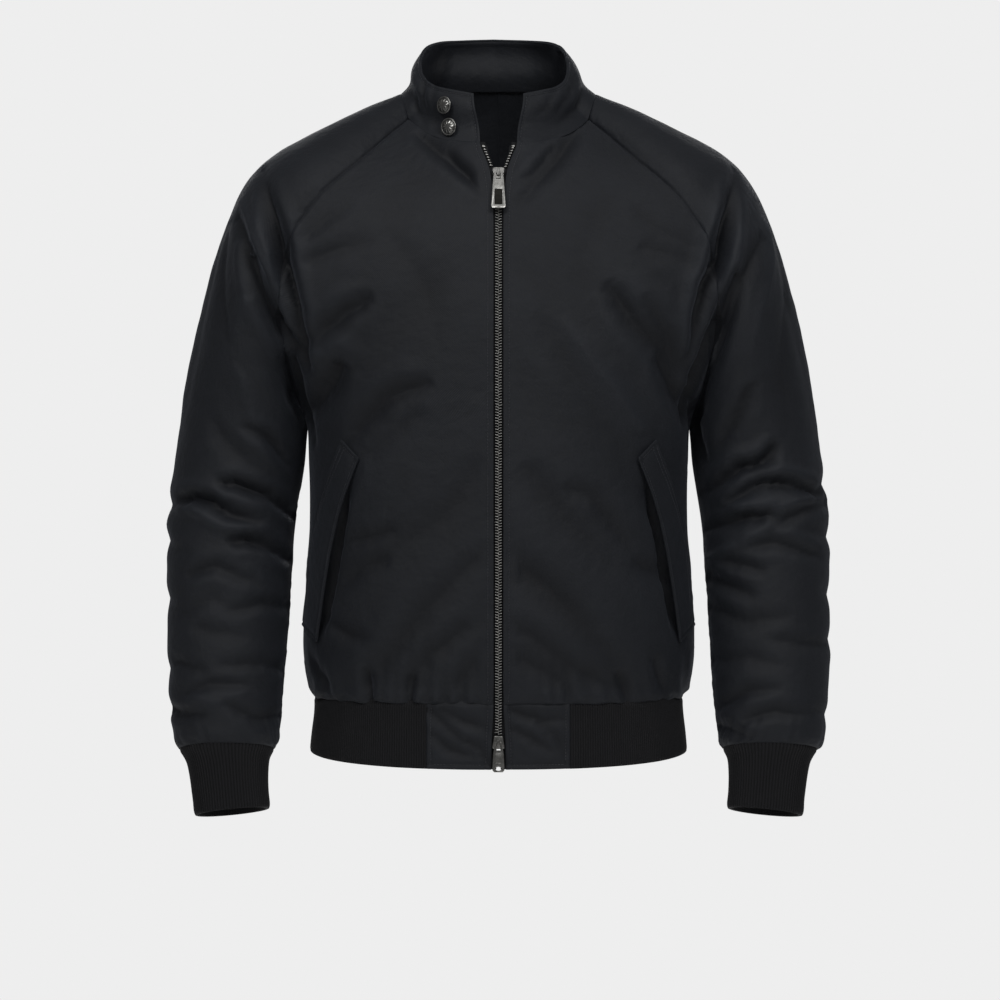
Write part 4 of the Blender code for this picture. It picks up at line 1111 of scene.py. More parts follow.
band_shares = 1 - spread(0.056, 0.0026)
panel_columns = spread(0.064, 0.0026)
panel_left = []
for share in band_shares:
    z = BAND_SEAM_Z + (HEM_SIDE_Z - HEM_DROP - BAND_SEAM_Z) * share
    panel_left.append(even(band_line(share, -1, section_angle(float(front_gap(z)), z),
                                     section_angle(WAIST_PANEL_EDGE, z)),
                           panel_columns))
panel_left = np.array(panel_left)
ZIP_STITCH = 0.0054
RIB_STITCH = 0.0048
EDGES = {"left": ("first_column", "last_column"), "right": ("last_column", "first_column")}
HEM_STITCH = 0.0045
for side, grid in (("left", panel_left), ("right", mirrored(panel_left))):
    beside_zip, beside_rib, above_hem, under_seam = margins(grid)
    if side == "right":
        beside_zip, beside_rib = beside_rib, beside_zip
    # the cloth turns back from the zip in a rounded corner, which clears the lower slider
    turned = np.exp(-(beside_zip / 0.004) ** 2) * np.exp(-((grid[..., 2] + 0.6535) / 0.008) ** 2)
    rise = stitch_dip(beside_rib, RIB_STITCH) + stitch_dip(above_hem, HEM_STITCH) \
        + stitch_dip(beside_zip, ZIP_STITCH) \
        - 0.0010 * np.exp(-(under_seam / 0.0014) ** 2) \
        - 0.0007 * np.exp(-(beside_rib / 0.0012) ** 2) - 0.001 * turned
    shape, facing, relief = shaped(grid, [fold for fold in PANEL_FOLDS if fold.side == side], 0.0005, 0.020,
                                   rise)
    zip_side, rib_side = EDGES[side]
    hem_ends = (0.0055, RIB_STITCH) if side == "left" else (RIB_STITCH, 0.0055)
    sewn_rows = stitching(f"waist_panel_{side}_stitching", [
        trimmed(line_inside(shape, facing, RIB_STITCH, rib_side), HEM_STITCH, 0.001),
        trimmed(line_inside(shape, facing, HEM_STITCH, "first_row"), *hem_ends),
        trimmed(line_inside(shape, facing, ZIP_STITCH, zip_side), HEM_STITCH, 0.001)])
    shape = tucked(shape, grid, facing)
    make_cloth(f"waist_panel_{side}_cloth", f"waist_panel_{side}", shape,
               np.clip(relief / RELIEF_FULL, -1, 1), twill_cloth,
               0.0020)

# ---- Rib waistband and cuffs -------------------------------------------------------------------------
# Two-by-two rib knit of cotton with elastane, folded double, so it grips and its wales stand out.
RIB_WALL = 0.0028
WAIST_WALE = 0.0025
CUFF_WALE = 0.0030
WALE_POINTS = 4
RIB_UNDER = 0.0012            # how far the rib runs under the panels in their seams
WALE_RISE = 0.00050
CUFF = [Ring(*row) for row in (
    (0.2218, -0.6455, 0.3144, -0.6470, -0.0480, 0.0447, 0.20),
    (0.2248, -0.6505, 0.3105, -0.6525, -0.0490, 0.0420, 0.19),
    (0.2268, -0.6570, 0.3068, -0.6600, -0.0500, 0.0392, 0.18),
    (0.2272, -0.6700, 0.3038, -0.6740, -0.0515, 0.0368, 0.17),
    (0.2268, -0.6870, 0.3010, -0.6930, -0.0530, 0.0358, 0.17),
    (0.2262, -0.7035, 0.2985, -0.7110, -0.0545, 0.0352, 0.17),
)]


def rib_knit():
    """Cotton rib knit, dyed black: dull and open, its loops show as fine rows across each wale."""
    made, tree, shader = principled("rib_knit", 0.82, Sheen_Weight=0.10, Sheen_Roughness=0.5,
                                    Specular_IOR_Level=0.25)
    cloth = add_node(tree, "ShaderNodeUVMap", uv_map="cloth").outputs["UV"]
    wale = add_node(tree, "ShaderNodeAttribute", attribute_name="relief").outputs["Fac"]
    loops = add_node(tree, "ShaderNodeTexWave",
                     {"Vector": cloth, "Scale": 190.0, "Distortion": 2.2, "Detail": 2.0},
                     bands_direction="Y")
    lint = add_node(tree, "ShaderNodeTexNoise",
                    {"Vector": cloth, "Scale": 900.0, "Detail": 3.0, "Roughness": 0.7})
    patch = add_node(tree, "ShaderNodeTexNoise", {"Vector": cloth, "Scale": 40.0, "Detail": 3.0})
    # Painted shade: the knit is coloured near black in the sunk ribs between its wales and lighter on their
    # crowns.
    height = add_node(tree, "ShaderNodeMapRange", {"Value": wale, "From Min": -0.8, "From Max": 1.0})
    ground = add_node(tree, "ShaderNodeMix", {0: height.outputs["Result"], MIX_A: linear("#050506"),
                                              MIX_B: linear("#1a1a1d")}, data_type="RGBA")
    fibre = add_node(tree, "ShaderNodeMapRange",
                     {"Value": lint.outputs["Fac"], "From Min": 0.35, "From Max": 0.8,
                                                  "To Min": 0.0, "To Max": 0.4})
    colour = add_node(tree, "ShaderNodeMix", {0: fibre.outputs["Result"], MIX_A: ground.outputs[MIX_RESULT],
                                              MIX_B: linear("#26262a")}, data_type="RGBA")
    tree.links.new(colour.outputs[MIX_RESULT], shader.inputs["Base Color"])
    gloss = add_node(tree, "ShaderNodeMapRange",
                     {"Value": patch.outputs["Fac"], "To Min": 0.76, "To Max": 0.9})
    tree.links.new(gloss.outputs["Result"], shader.inputs["Roughness"])
    loft = add_node(tree, "ShaderNodeMath", {0: loops.outputs["Fac"], 1: lint.outputs["Fac"]},
                    operation="ADD")
    bump = add_node(tree, "ShaderNodeBump",
                    {"Height": loft.outputs["Value"], "Distance": 0.00020, "Strength": 0.45})
    tree.links.new(bump.outputs["Normal"], shader.inputs["Normal"])
    return made


knit = rib_knit()


def wales(columns, rows):
    """The rise of the knit over its wales: full at the crown, sunk between, flat at no place."""
    phase = 2 * math.pi * np.arange(columns) / WALE_POINTS
    return np.broadcast_to(np.cos(phase), (rows, columns))


rib_rows = []
rib_share = 1 - spread(0.056, 0.0042)
band_length = None
for share in rib_share:
    z = BAND_SEAM_Z + (HEM_SIDE_Z - HEM_DROP - BAND_SEAM_Z) * share
    left = np.concatenate((band_line(share, -1, section_angle(WAIST_PANEL_EDGE - RIB_UNDER, z),
                                     math.pi / 2),
                           band_line(share, 1, math.pi / 2, 0.0)[1:]))
    line = np.concatenate((left, (left * (-1.0, 1.0, 1.0))[-2::-1]))
    if band_length is None:
        band_length = float(np.linalg.norm(np.diff(line, axis=0), axis=1).sum())
        wale_count = round(band_length / WAIST_WALE)
    rib_rows.append(even(line, np.linspace(0.0, 1.0, wale_count * WALE_POINTS + 1)))
rib_grid = np.array(rib_rows)
first_run, last_run, above_hem, under_seam = margins(rib_grid)
crowns = wales(rib_grid.shape[1], rib_grid.shape[0])
seam_pull = np.array([noise.noise(Vector((x / 0.016, y / 0.016, 8.8))) for x, y in rib_grid[-1, :, :2]])
rise = WALE_RISE * crowns * (1 - np.exp(-(above_hem / 0.0016) ** 2)) \
    - 0.0009 * np.exp(-(under_seam / 0.0016) ** 2) \
    + 0.0007 * seam_pull[None, :] * np.exp(-under_seam / 0.012) \
    - 0.0012 * np.exp(-(np.minimum(first_run, last_run) / 0.0014) ** 2)
rib_base = sway_seam(rib_grid)
rib_shape, _, _ = shaped(rib_base, (), 0.0006, 0.040, rise)
rib_facing = facing_out(rib_base)
rib_shape = tucked(rib_shape, rib_base, rib_facing)
rib_inside = tucked(run_on(rib_base, SEAM_LAP), rib_base, rib_facing) - rib_facing * RIB_WALL
# the wales' crowns also colour the knit: painted shade between them
make_cloth("rib_waistband_knit", "rib_waistband", rib_shape, crowns.ravel(), knit, RIB_WALL,
           inside=rib_inside)

cuff_shares = 1 - spread(0.066, 0.0036)
cuff_round = ring_section(CUFF, 3.0, np.linspace(0.0, 1.0, 200))
cuff_length = float(np.linalg.norm(np.diff(cuff_round, axis=0), axis=1).sum())
cuff_wales = round(cuff_length / CUFF_WALE)
cuff_left = np.array([ring_section(CUFF, (len(CUFF) - 1) * share,
                                   np.linspace(0.0, 1.0, cuff_wales * WALE_POINTS + 1))
                      for share in cuff_shares])
for side, grid in (("left", cuff_left), ("right", mirrored(cuff_left))):
    _, _, above_hem, under_seam = margins(grid)
    crowns = wales(grid.shape[1], grid.shape[0])
    rise = 1.15 * WALE_RISE * crowns * (1 - np.exp(-(above_hem / 0.0018) ** 2)) \
        - 0.0008 * np.exp(-(under_seam / 0.0016) ** 2) \
        + 0.0006 * np.exp(-((above_hem - 0.006) / 0.006) ** 2)
    shape, _, _ = shaped(grid, (), 0.0008, 0.035, rise)
    shape[:, -1] = shape[:, 0]
    inward = facing_out(grid)
    inward[:, 0] = inward[:, -1] = (inward[:, 1] + inward[:, -2]) / 2
    shape = tucked(shape, grid, inward)
    make_cloth(f"rib_cuff_{side}_knit", f"rib_cuff_{side}", shape, crowns.ravel(), knit, RIB_WALL,
               tube_rows=len(cuff_shares),
               lap=0.0,
               inside=tucked(grid, grid, inward) - inward * RIB_WALL)

# ---- Pocket flaps --------------------------------------------------------------------------------
# Slanted flaps of the shell cloth, doubled over, sewn down along their outer edge and both ends.  The
# edge toward the zip is free and stands a little off the front, so a shadow shows under it.
FLAP_WALL = 0.0020
LAY_GAP = 0.0008
FLAP_STITCH = 0.0038
FLAP_STITCH_TWO = 0.0090


def body_front(x, z, out_by):
    """Points of the body front below the underarm, moved out along its normal."""
    def place(x, z):
        square, wide, deep = (level(column, z) for column in ("square", "half_width", "front"))
        return np.stack((x, -deep * np.maximum(0.0, 1 - (x / wide) ** square) ** (1 / square), z), axis=-1)
    step = 0.0004
    normal = np.cross(place(x + step, z) - place(x - step, z), place(x, z + step) - place(x, z - step))
    normal = normal / np.linalg.norm(normal, axis=-1, keepdims=True)
    return place(x, z) + normal * np.asarray(out_by)[..., None]


flap_rows = (len(FLAP) - 1) * (1 - spread(0.200, 0.0030))
flap_columns = spread(0.026, 0.0024)
welt_at = {name: column_at(FLAP, name, flap_rows)[:, None] for name in Welt._fields}
flap_x = welt_at["free_x"] + (welt_at["sewn_x"] - welt_at["free_x"]) * flap_columns
flap_height = welt_at["free_z"] + (welt_at["sewn_z"] - welt_at["free_z"]) * flap_columns
lift = welt_at["lift"] * (1 - flap_columns) ** 1.5
flap_left = body_front(flap_x, flap_height, LAY_GAP + FLAP_WALL + lift)
for side, grid in (("left", flap_left), ("right", mirrored(flap_left))):
    free, sewn_down, low_end, top_end = margins(grid)
    if side == "right":
        free, sewn_down = sewn_down, free
    rise = stitch_dip(free, FLAP_STITCH) \
        + sum(0.8 * stitch_dip(distance, FLAP_STITCH) for distance in (sewn_down, top_end, low_end)) \
        - 0.00035 * np.exp(-((sewn_down - FLAP_STITCH_TWO) / 0.0010) ** 2)
    rise = np.maximum(rise, -0.0006)
    shape, facing, relief = shaped(grid, (), 0.0005, 0.026, rise)
    free_side, sewn_side = EDGES[side]
    flap_rows_sewn = stitching(f"pocket_flap_{side}_stitching", [
        trimmed(line_inside(shape, facing, inset, edge_side), FLAP_STITCH, FLAP_STITCH)
        for inset, edge_side in ((FLAP_STITCH, sewn_side), (FLAP_STITCH_TWO, sewn_side),
                                 (FLAP_STITCH, free_side),
                                 (FLAP_STITCH, "last_row"))])
    # the flap's relief colours its cloth: painted shade where it sinks, wear where it rises
    make_cloth(f"pocket_flap_{side}_cloth", f"pocket_flap_{side}", shape, np.clip(relief / 0.002, -1, 1),
               twill_cloth,
               FLAP_WALL,
               lap=0.0)

# ---- Zip tapes -------------------------------------------------------------------------------------
# Woven polyester tapes sewn behind the front edges; a corded edge carries the teeth.
TAPE_WALL = 0.0010
TAPE_WIDTH = 0.016
TAPE_SHOWS = 0.0048
TAPE_BACK = 0.0028           # how far behind the fronts' outer face the tapes lie


def tape_weave():
    """Black polyester zip tape, a tight herringbone drawn at 1.2 mm."""
    made, tree, shader = principled("woven_zip_tape", 0.78, Specular_IOR_Level=0.3)
    cloth = add_node(tree, "ShaderNodeUVMap", uv_map="cloth").outputs["UV"]
    weave = add_node(tree, "ShaderNodeTexWave", {"Vector": cloth, "Scale": 260.0, "Distortion": 0.8},
                     bands_direction="DIAGONAL")
    fleck = add_node(tree, "ShaderNodeTexNoise", {"Vector": cloth, "Scale": 700.0, "Detail": 3.0})
    lit = add_node(tree, "ShaderNodeMath", {0: weave.outputs["Fac"], 1: fleck.outputs["Fac"]},
                   operation="MULTIPLY")
    colour = add_node(tree, "ShaderNodeMix", {0: lit.outputs["Value"], MIX_A: linear("#09090b"),
                                              MIX_B: linear("#222327")}, data_type="RGBA")
    tree.links.new(colour.outputs[MIX_RESULT], shader.inputs["Base Color"])
    bump = add_node(tree, "ShaderNodeBump", {"Height": lit.outputs["Value"], "Distance": 0.0002})
    tree.links.new(bump.outputs["Normal"], shader.inputs["Normal"])
    return made


tape_cloth = tape_weave()
edge_line = np.concatenate((panel_left[:-1, 0], front_left[:, 0]))
edge_out = np.concatenate((facing_out(panel_left)[:-1, 0], facing_out(front_left)[:, 0]))
edge_out /= np.linalg.norm(edge_out, axis=1, keepdims=True)
far_line, far_out = (np.concatenate(pair) for pair in zip(
    [item[:-1] for item in line_inside(panel_left, facing_out(panel_left), TAPE_WIDTH - TAPE_SHOWS,
                                       "first_column")],
    line_inside(front_left, facing_out(front_left), TAPE_WIDTH - TAPE_SHOWS, "first_column")))
far_out /= np.linalg.norm(far_out, axis=1, keepdims=True)
inner_line = edge_line - np.array((TAPE_SHOWS, 0.0, 0.0))
near_back, far_back = edge_line - edge_out * TAPE_BACK, far_line - far_out * TAPE_BACK
tape_left = np.stack([inner_line - edge_out * TAPE_BACK + np.array((TAPE_SHOWS, 0.0, 0.0)) * share
                      for share in (0.0, 0.15, 0.4, 0.7)]
                     + [near_back + (far_back - near_back) * share for share in (0.0, 0.2, 0.5, 0.8, 1.0)],
                     axis=1)
tape_left = tape_left[::2]
for side, grid in (("left", tape_left), ("right", mirrored(tape_left))):
    corded = margins(grid)[0 if side == "left" else 1]
    shape, _, _ = shaped(grid, extra=0.0004 * np.exp(-(corded / 0.0010) ** 2))
    make_cloth(f"zip_tape_{side}_weave", f"zip_tape_{side}", shape, None, tape_cloth, TAPE_WALL,
               lap=0.0)

# ---- Zip teeth --------------------------------------------------------------------------------------
# Stamped brass teeth with a dark nickel finish, clamped on each tape's cord; every other tooth of the
# closed chain comes from the other side.  Above the slider each row follows its open edge.
TOOTH_PITCH = 0.0027
CHAIN_HALF = 0.0033
TOP_SLIDER_Z = -0.084
BOTTOM_SLIDER_Z = -0.633
TOP_TEETH_Z = -0.0535
TEETH_CLEAR = 0.0016
bpy.ops.object.select_all(action="DESELECT")
bpy.ops.mesh.primitive_cube_add(size=2.0)
tooth = bpy.context.active_object
tooth.name = "tooth_pattern"
for corner in tooth.data.vertices:
    if corner.co.x < 0:      # the head narrows towards the chain's middle
        corner.co.y *= 0.62
use_modifier(tooth, "BEVEL", width=0.28, segments=1, limit_method="NONE")


def aged_metal(name, low, high, rough, rough_spread=0.14):
    """Brass with an aged nickel finish: dark in its hollows, brighter and smoother in places where use has
    polished it.
    """
    made, tree, shader = principled(name, rough, 1.0)
    place = add_node(tree, "ShaderNodeTexCoord").outputs["Object"]
    cloud = add_node(tree, "ShaderNodeTexNoise",
                     {"Vector": place, "Scale": 420.0, "Detail": 5.0, "Roughness": 0.65})
    grime = add_node(tree, "ShaderNodeTexNoise", {"Vector": place, "Scale": 1900.0, "Detail": 3.0})
    hollow = add_node(tree, "ShaderNodeAttribute", attribute_name="relief").outputs["Fac"]
    share = add_node(tree, "ShaderNodeMath", {0: cloud.outputs["Fac"], 1: hollow}, operation="ADD",
                     use_clamp=True)
    colour = add_node(tree, "ShaderNodeMix",
                      {0: share.outputs["Value"], MIX_A: linear(low), MIX_B: linear(high)},
                      data_type="RGBA")
    tree.links.new(colour.outputs[MIX_RESULT], shader.inputs["Base Color"])
    gloss = add_node(tree, "ShaderNodeMapRange",
                     {"Value": grime.outputs["Fac"], "To Min": rough - rough_spread / 2,
                                                  "To Max": rough + rough_spread})
    tree.links.new(gloss.outputs["Result"], shader.inputs["Roughness"])
    bump = add_node(tree, "ShaderNodeBump",
                    {"Height": grime.outputs["Fac"], "Distance": 0.00004, "Strength": 0.6})
    tree.links.new(bump.outputs["Normal"], shader.inputs["Normal"])
    return made


teeth_metal = aged_metal("dark_nickel_teeth", "#575756", "#c6c5c1", 0.32)


def edge_at(z):
    """The left front edge and its outward direction at heights."""
    z = np.asarray(z)
    rising = edge_line[:, 2]
    return (np.stack([np.interp(z, rising, edge_line[:, axis]) for axis in range(3)], axis=-1),
            np.stack([np.interp(z, rising, edge_out[:, axis]) for axis in range(3)], axis=-1))


def teeth(at, side, inner, outer, tall):
    """A row of teeth; inner and outer are each tooth's x limits on the left side, side is 1 or -1."""
    spot, facing = edge_at(at)
    middle = (inner + outer) / 2 + 0.0 * at
    centres = np.stack((side * middle, spot[:, 1], spot[:, 2]), axis=1)
    facing = facing * (0.0, 1.0, 1.0)
    facing /= np.linalg.norm(facing, axis=1, keepdims=True)
    centres -= facing * 0.0011
    along = np.tile((float(side), 0.0, 0.22), (len(at), 1))
    return centres, along, facing, np.tile(((outer - inner).mean() / 2, tall / 2, 0.00105), (len(at), 1))


chain_z = np.arange(BOTTOM_SLIDER_Z + 0.0078, TOP_SLIDER_Z - 0.0068, TOOTH_PITCH / 2)
rows = []
for start, side in ((0, 1), (1, -1)):
    at = chain_z[start::2]
    rows.append(teeth(at, side, np.full(len(at), -0.0007), np.full(len(at), CHAIN_HALF), 0.0010))
closed_teeth = copies("zip_teeth_closed", tooth, *(np.concatenate(part) for part in zip(*rows)))
closed_teeth.data.materials.append(teeth_metal)
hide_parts("zip_chain")
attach(closed_teeth, "jacket")
for side_name, side in (("left", 1), ("right", -1)):
    at = np.arange(TOP_SLIDER_Z + 0.0085, TOP_TEETH_Z - 0.0022, TOOTH_PITCH)
    at = at if side > 0 else at + TOOTH_PITCH / 2
    gap_at = front_gap(at)
    inner, outer = gap_at - TAPE_SHOWS + 0.0004, gap_at - TEETH_CLEAR
    row = teeth(at, side, inner, outer, 0.0017)
    stop_at = np.array([TOP_TEETH_Z - 0.0012])
    stop = teeth(stop_at, side, front_gap(stop_at) - TAPE_SHOWS + 0.0003,
                 front_gap(stop_at) - TEETH_CLEAR + 0.0003, 0.0026)
    stop[3][:] = (0.0017, 0.0013, 0.00115)
    open_teeth = copies(f"zip_teeth_{side_name}", tooth, *(np.concatenate(part) for part in zip(row, stop)))
    open_teeth.data.materials.append(teeth_metal)
    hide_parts(f"zip_top_teeth_{side_name}")
    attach(open_teeth, "jacket")

# ---- Sliders and pull tabs ----------------------------------------------------------------------------
# Die-cast zinc with an aged silver finish.  A bridge on each slider holds a pull tab by its loop; the
# upper tab has a bare sunk panel, the lower one an oval eye.
SLIDER_BACK = 0.0018
SLIDER_FACE = 0.0035
PIVOT_OUT = 0.0011
PULL_THICK = 0.0015
silver = aged_metal("aged_silver_zinc", "#4b4b4a", "#bdbcb8", 0.30)
sunk_metal = aged_metal("tarnished_recess", "#141414", "#33322f", 0.5)


def zip_frame(z):
    """Axes on the zip at a height: X across, Z up along the zip, -Y out of the cloth."""
    step = 0.006
    slope = float(level("front", z - step) - level("front", z + step))
    up = Vector((0.0, slope, 2 * step)).normalized()
    back = up.cross(Vector((1.0, 0.0, 0.0)))
    axes = Matrix((Vector((1.0, 0.0, 0.0)), back, up)).transposed().to_4x4()
    return Matrix.Translation((0.0, -float(level("front", z)), z)) @ axes


def both_sides(half):
    return half + [(-x, z) for x, z in reversed(half)]


def cast_plate(name, outline, low, high, round_by, sideways=False):
    """A flat outline filled and extruded from low to high along -Y, or along X if sideways."""
    bpy.ops.object.select_all(action="DESELECT")
    bpy.ops.mesh.primitive_circle_add(vertices=len(outline), fill_type="NGON")
    made = bpy.context.active_object
    made.name = made.data.name = name
    for corner, (u, v) in zip(made.data.vertices, outline):
        corner.co = (low, -v, u) if sideways else (u, -low, v)
    bpy.ops.object.mode_set(mode="EDIT")
    bpy.ops.mesh.select_all(action="SELECT")
    by = (high - low, 0.0, 0.0) if sideways else (0.0, low - high, 0.0)
    bpy.ops.mesh.extrude_region_move(TRANSFORM_OT_translate={"value": by})
    bpy.ops.mesh.select_all(action="SELECT")
    bpy.ops.mesh.normals_make_consistent(inside=False)
    bpy.ops.object.mode_set(mode="OBJECT")
    if round_by:
        use_modifier(made, "BEVEL", width=round_by, segments=3, limit_method="ANGLE",
                     angle_limit=math.radians(24))
    return made


def cut_away(piece, kind, size, centre):
    """Cuts a box or an oval through a piece."""
    bpy.ops.object.select_all(action="DESELECT")
    if kind == "box":
        bpy.ops.mesh.primitive_cube_add(size=1.0)
    else:
        bpy.ops.mesh.primitive_cylinder_add(vertices=28, radius=0.5, depth=1.0)
        bpy.context.active_object.data.transform(Matrix.Rotation(math.radians(90), 4, "X"))
    tool = bpy.context.active_object
    tool.data.transform(Matrix.Translation(centre) @ Matrix.Diagonal((*size, 1.0)))
    use_modifier(piece, "BOOLEAN", operation="DIFFERENCE", object=tool, solver="EXACT")
    bpy.data.objects.remove(tool)


def joined(pieces, name):
    """Several meshes as one piece."""
    bpy.ops.object.select_all(action="DESELECT")
    for item in pieces:
        item.select_set(True)
    bpy.context.view_layer.objects.active = pieces[0]
    bpy.ops.object.join()
    made = bpy.context.active_object
    made.name = made.data.name = name
    return made


def finish_metal(piece, node, body, frame_at, materials):
    piece.data.transform(frame_at)
    piece.data.shade_smooth()
    bpy.ops.object.select_all(action="DESELECT")
    piece.select_set(True)
    bpy.context.view_layer.objects.active = piece
    bpy.ops.object.shade_smooth_by_angle(angle=math.radians(40))
    for item in materials:
        piece.data.materials.append(item)
    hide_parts(node)
    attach(piece, body)


# Outlines in metres: the face's half, the post inside, one side flange, and the bridge seen sideways.
SLIDER_HALF = [(0.0022, 0.0064), (0.0046, 0.0062), (0.0058, 0.0054), (0.0058, 0.0036), (0.0054, 0.0010),
               (0.0045, -0.0020), (0.0043, -0.0048), (0.0036, -0.0060)]
POST = [(0.0012, 0.0060), (0.0012, 0.0035), (-0.0012, 0.0035), (-0.0012, 0.0060)]
FLANGE = [(0.0050, 0.0048), (0.0056, 0.0030), (0.0043, -0.0050), (0.0037, -0.0050), (0.0046, 0.0030)]
BRIDGE = [(-0.0035, 0.0030), (-0.0035, 0.0055), (-0.0027, 0.0067), (0.0027, 0.0067), (0.0035, 0.0055),
          (0.0035, 0.0030), (0.0023, 0.0030), (0.0023, 0.0057), (-0.0023, 0.0057), (-0.0023, 0.0030)]
for name, z, upside in (("top_slider", TOP_SLIDER_Z, 1), ("bottom_slider", BOTTOM_SLIDER_Z, -1)):
    outline = both_sides([(x, upside * rise) for x, rise in SLIDER_HALF])
    face = cast_plate(name + "_face", outline, 0.0018, SLIDER_FACE, 0.0005)
    base = cast_plate(name + "_base", outline, -SLIDER_BACK, -0.0006, 0.0004)
    post = cast_plate(name + "_post", [(x, upside * rise) for x, rise in POST], -0.0010, 0.0022, 0.0003)
    flange = [cast_plate(name + "_flange", [(side * x, upside * rise) for x, rise in FLANGE],
                         0.0012, 0.0024, 0.0002) for side in (-1, 1)]
    bail = cast_plate(name + "_bail", BRIDGE, -0.0013, 0.0013, 0.0003, sideways=True)
    whole = joined([face, base, post, *flange, bail], name + "_cast")
    finish_metal(whole, name, "jacket", zip_frame(z), [silver])

PULLS = {
    "top_pull": (TOP_SLIDER_Z, [(0.0024, 0.00065), (0.0040, -0.0002), (0.0050, -0.0060), (0.0053, -0.0100),
                                (0.0069, -0.0375), (0.0058, -0.0395)]),
    "bottom_pull": (BOTTOM_SLIDER_Z, [(0.0024, 0.00065), (0.0034, -0.0002), (0.0040, -0.0050),
                                      (0.0050, -0.0110),
                                      (0.0058, -0.0265), (0.0042, -0.0285)]),
}
for name, (z, half) in PULLS.items():
    tab = cast_plate(name + "_cast", both_sides(half), -PULL_THICK / 2, PULL_THICK / 2, 0.0)
    cut_away(tab, "box", (0.0044, 0.004, 0.0068), (0.0, 0.0, -0.00405))
    if name == "top_pull":
        cut_away(tab, "box", (0.0076, 0.0008, 0.0172), (0.0, -PULL_THICK / 2, -0.0272))
    else:
        cut_away(tab, "oval", (0.0058, 0.004, 0.0038), (0.0, 0.0, -0.0252))
        cut_away(tab, "box", (0.0052, 0.0006, 0.0095), (0.0, -PULL_THICK / 2, -0.0150))
    use_modifier(tab, "BEVEL", width=0.00022, segments=2, limit_method="ANGLE",
                 angle_limit=math.radians(30))
    finish_metal(tab, name, name, zip_frame(z) @ Matrix.Translation((0.0, -SLIDER_FACE - PIVOT_OUT, 0.0)),
                 [silver, sunk_metal])
    turned_in = (zip_frame(z) @ Matrix.Translation((0.0, -SLIDER_FACE - PIVOT_OUT, 0.0))).inverted()
    for face in tab.data.polygons:
        spot = turned_in @ face.center
        sunk = -PULL_THICK / 2 + 0.0003 < spot.y < -0.0001 and abs(face.normal.y) > 0.7
        face.material_index = 1 if sunk and spot.z < -0.0085 and abs(spot.x) < 0.0037 else 0

# ---- Collar buttons -------------------------------------------------------------------------------------
# Domed metal shank buttons: a roped rim, a sunk ring and a plain raised rosette on the dome.
BUTTONS = {"collar_button_upper": ((-0.050600, -0.074532, -0.013644), (-0.6503, -0.7597, 0.0)),
           "collar_button_lower": ((-0.046600, -0.075222, -0.034931), (-0.5264, -0.8503, 0.0))}
PROFILE = [(0.0002, 0.0012), (0.0026, 0.0012), (0.0026, 0.0036), (0.0080, 0.0037), (0.0086, 0.0039),
           (0.0088, 0.0043),
           (0.0087, 0.0048), (0.0083, 0.0052), (0.0078, 0.0053), (0.0073, 0.0051), (0.0069, 0.0050),
           (0.0064, 0.0054),
           (0.0056, 0.0058), (0.0047, 0.0062), (0.0038, 0.0065), (0.0028, 0.0067), (0.0018, 0.0067),
           (0.0009, 0.0068),
           (0.00005, 0.0068)]
for node, (at, outward) in BUTTONS.items():
    turn = np.linspace(0.0, 2 * math.pi, 121)
    profile = np.array(PROFILE)
    radius = profile[:, :1] + 0.0 * turn
    rise = profile[:, 1:] + 0.0 * turn
    front_of = smooth_step(0.0049, 0.0052, rise)
    rope = 0.00016 * np.cos(34 * turn) * np.exp(-((radius - 0.0083) / 0.0006) ** 2) * front_of
    rosette = 0.00020 * np.cos(10 * turn) * np.exp(-((radius - 0.0044) / 0.0017) ** 2) * front_of
    rise = rise + rope + rosette
    shape = np.stack((radius * np.cos(turn), radius * np.sin(turn), rise), axis=2)
    hollow = (rope / 0.0002 + rosette / 0.0004 - 0.8 * np.exp(-((radius - 0.0069) / 0.0006) ** 2)) * 0.5
    dome = lay_sheet(node + "_metal", shape, radius, rise, hollow)
    join_points(dome, np.ones(len(dome.data.vertices), dtype=bool))
    bpy.ops.object.mode_set(mode="EDIT")
    bpy.ops.mesh.select_all(action="SELECT")
    bpy.ops.mesh.normals_make_consistent(inside=False)
    bpy.ops.object.mode_set(mode="OBJECT")
    finish_metal(dome, node, "jacket",
                 Matrix.Translation(at) @ Vector(outward).to_track_quat("Z", "Y").to_matrix().to_4x4(),
                 [silver])

# ---- Stitching on the fronts ----------------------------------------------------------------------------
# One row of lockstitch holds each front edge to its zip tape.
for side, edge_side in (("left", "first_column"), ("right", "last_column")):
    name = f"front_{side}"
    stitching(f"{name}_stitching", [
        trimmed(line_inside(laid[name], laid_out[name], FRONT_STITCH, edge_side), 0.001, 0.001)])
for pattern in (stitch_pattern, tooth):
    bpy.data.objects.remove(pattern)

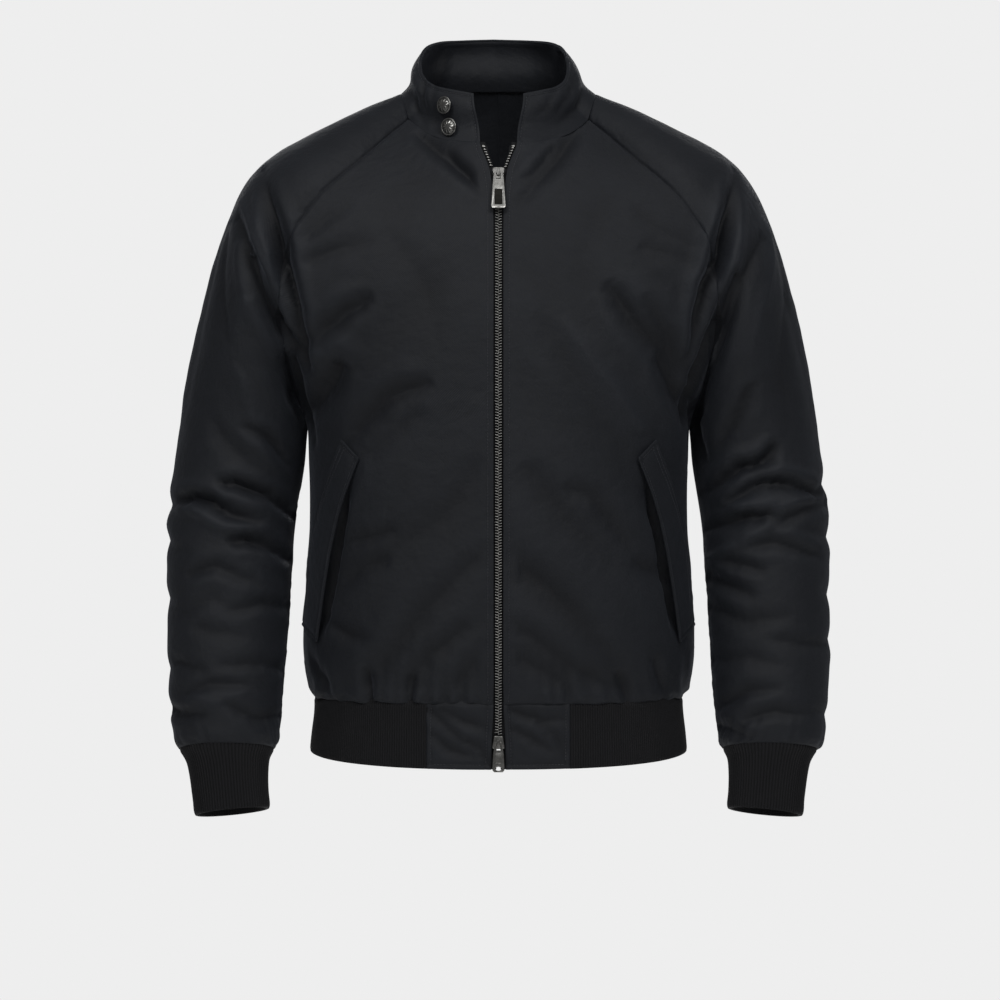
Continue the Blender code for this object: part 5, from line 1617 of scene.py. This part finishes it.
# ---- Stage: plain floor, backdrop and soft lights -----------------------------------------------
# A pale floor well below the jacket, a pale even backdrop that gives only part of the light, and
# large soft lights from the front at both sides and from above.
FLOOR_Z = -1.45
bpy.ops.object.select_all(action="DESELECT")
bpy.ops.mesh.primitive_circle_add(vertices=96, radius=2.3, fill_type="NGON")
floor = bpy.context.active_object
floor.name = "floor"
floor.data.transform(Matrix.Translation((0.0, 0.0, FLOOR_Z)))
floor_paint, _, floor_shader = principled("pale_floor", 0.9)
floor_shader.inputs["Base Color"].default_value = linear("#f2f2f2")
floor_shader.inputs["Emission Color"].default_value = linear("#eeeeee")
floor_shader.inputs["Emission Strength"].default_value = 0.18
floor.data.materials.append(floor_paint)

BACKDROP_LIGHT = 0.125       # share of the backdrop's brightness that lights the jacket
world = bpy.data.worlds.new("studio")
bpy.context.scene.world = world
world.use_nodes = True
background = world.node_tree.nodes["Background"]
background.inputs["Color"].default_value = linear("#eeeeee")
seen = add_node(world.node_tree, "ShaderNodeLightPath")
brightness = add_node(world.node_tree, "ShaderNodeMapRange", {"Value": seen.outputs["Is Camera Ray"],
                                                              "To Min": BACKDROP_LIGHT, "To Max": 1.0})
world.node_tree.links.new(brightness.outputs["Result"], background.inputs["Strength"])
bpy.context.scene.view_settings.view_transform = "Standard"


def soft_light(name, at, toward, size, watts):
    data = bpy.data.lights.new(name, "AREA")
    data.shape = "RECTANGLE"
    data.size, data.size_y = size
    data.energy = watts
    made = bpy.data.objects.new(name, data)
    made.location = at
    made.rotation_euler = (Vector(toward) - Vector(at)).to_track_quat("-Z", "Y").to_euler()
    bpy.context.scene.collection.objects.link(made)


MIDDLE = (0.0, -0.05, -0.34)
soft_light("key_left", (-0.95, -2.3, 1.45), MIDDLE, (0.9, 0.8), 21.5)
soft_light("key_right", (1.15, -2.2, 1.30), MIDDLE, (0.9, 0.8), 21.5)
soft_light("top", (0.0, -0.9, 1.9), MIDDLE, (1.4, 0.9), 5.0)
soft_light("back_left", (-0.8, 3.2, 0.9), MIDDLE, (1.0, 1.2), 13.0)
soft_light("back_right", (0.8, 3.2, 0.9), MIDDLE, (1.0, 1.2), 12.0)
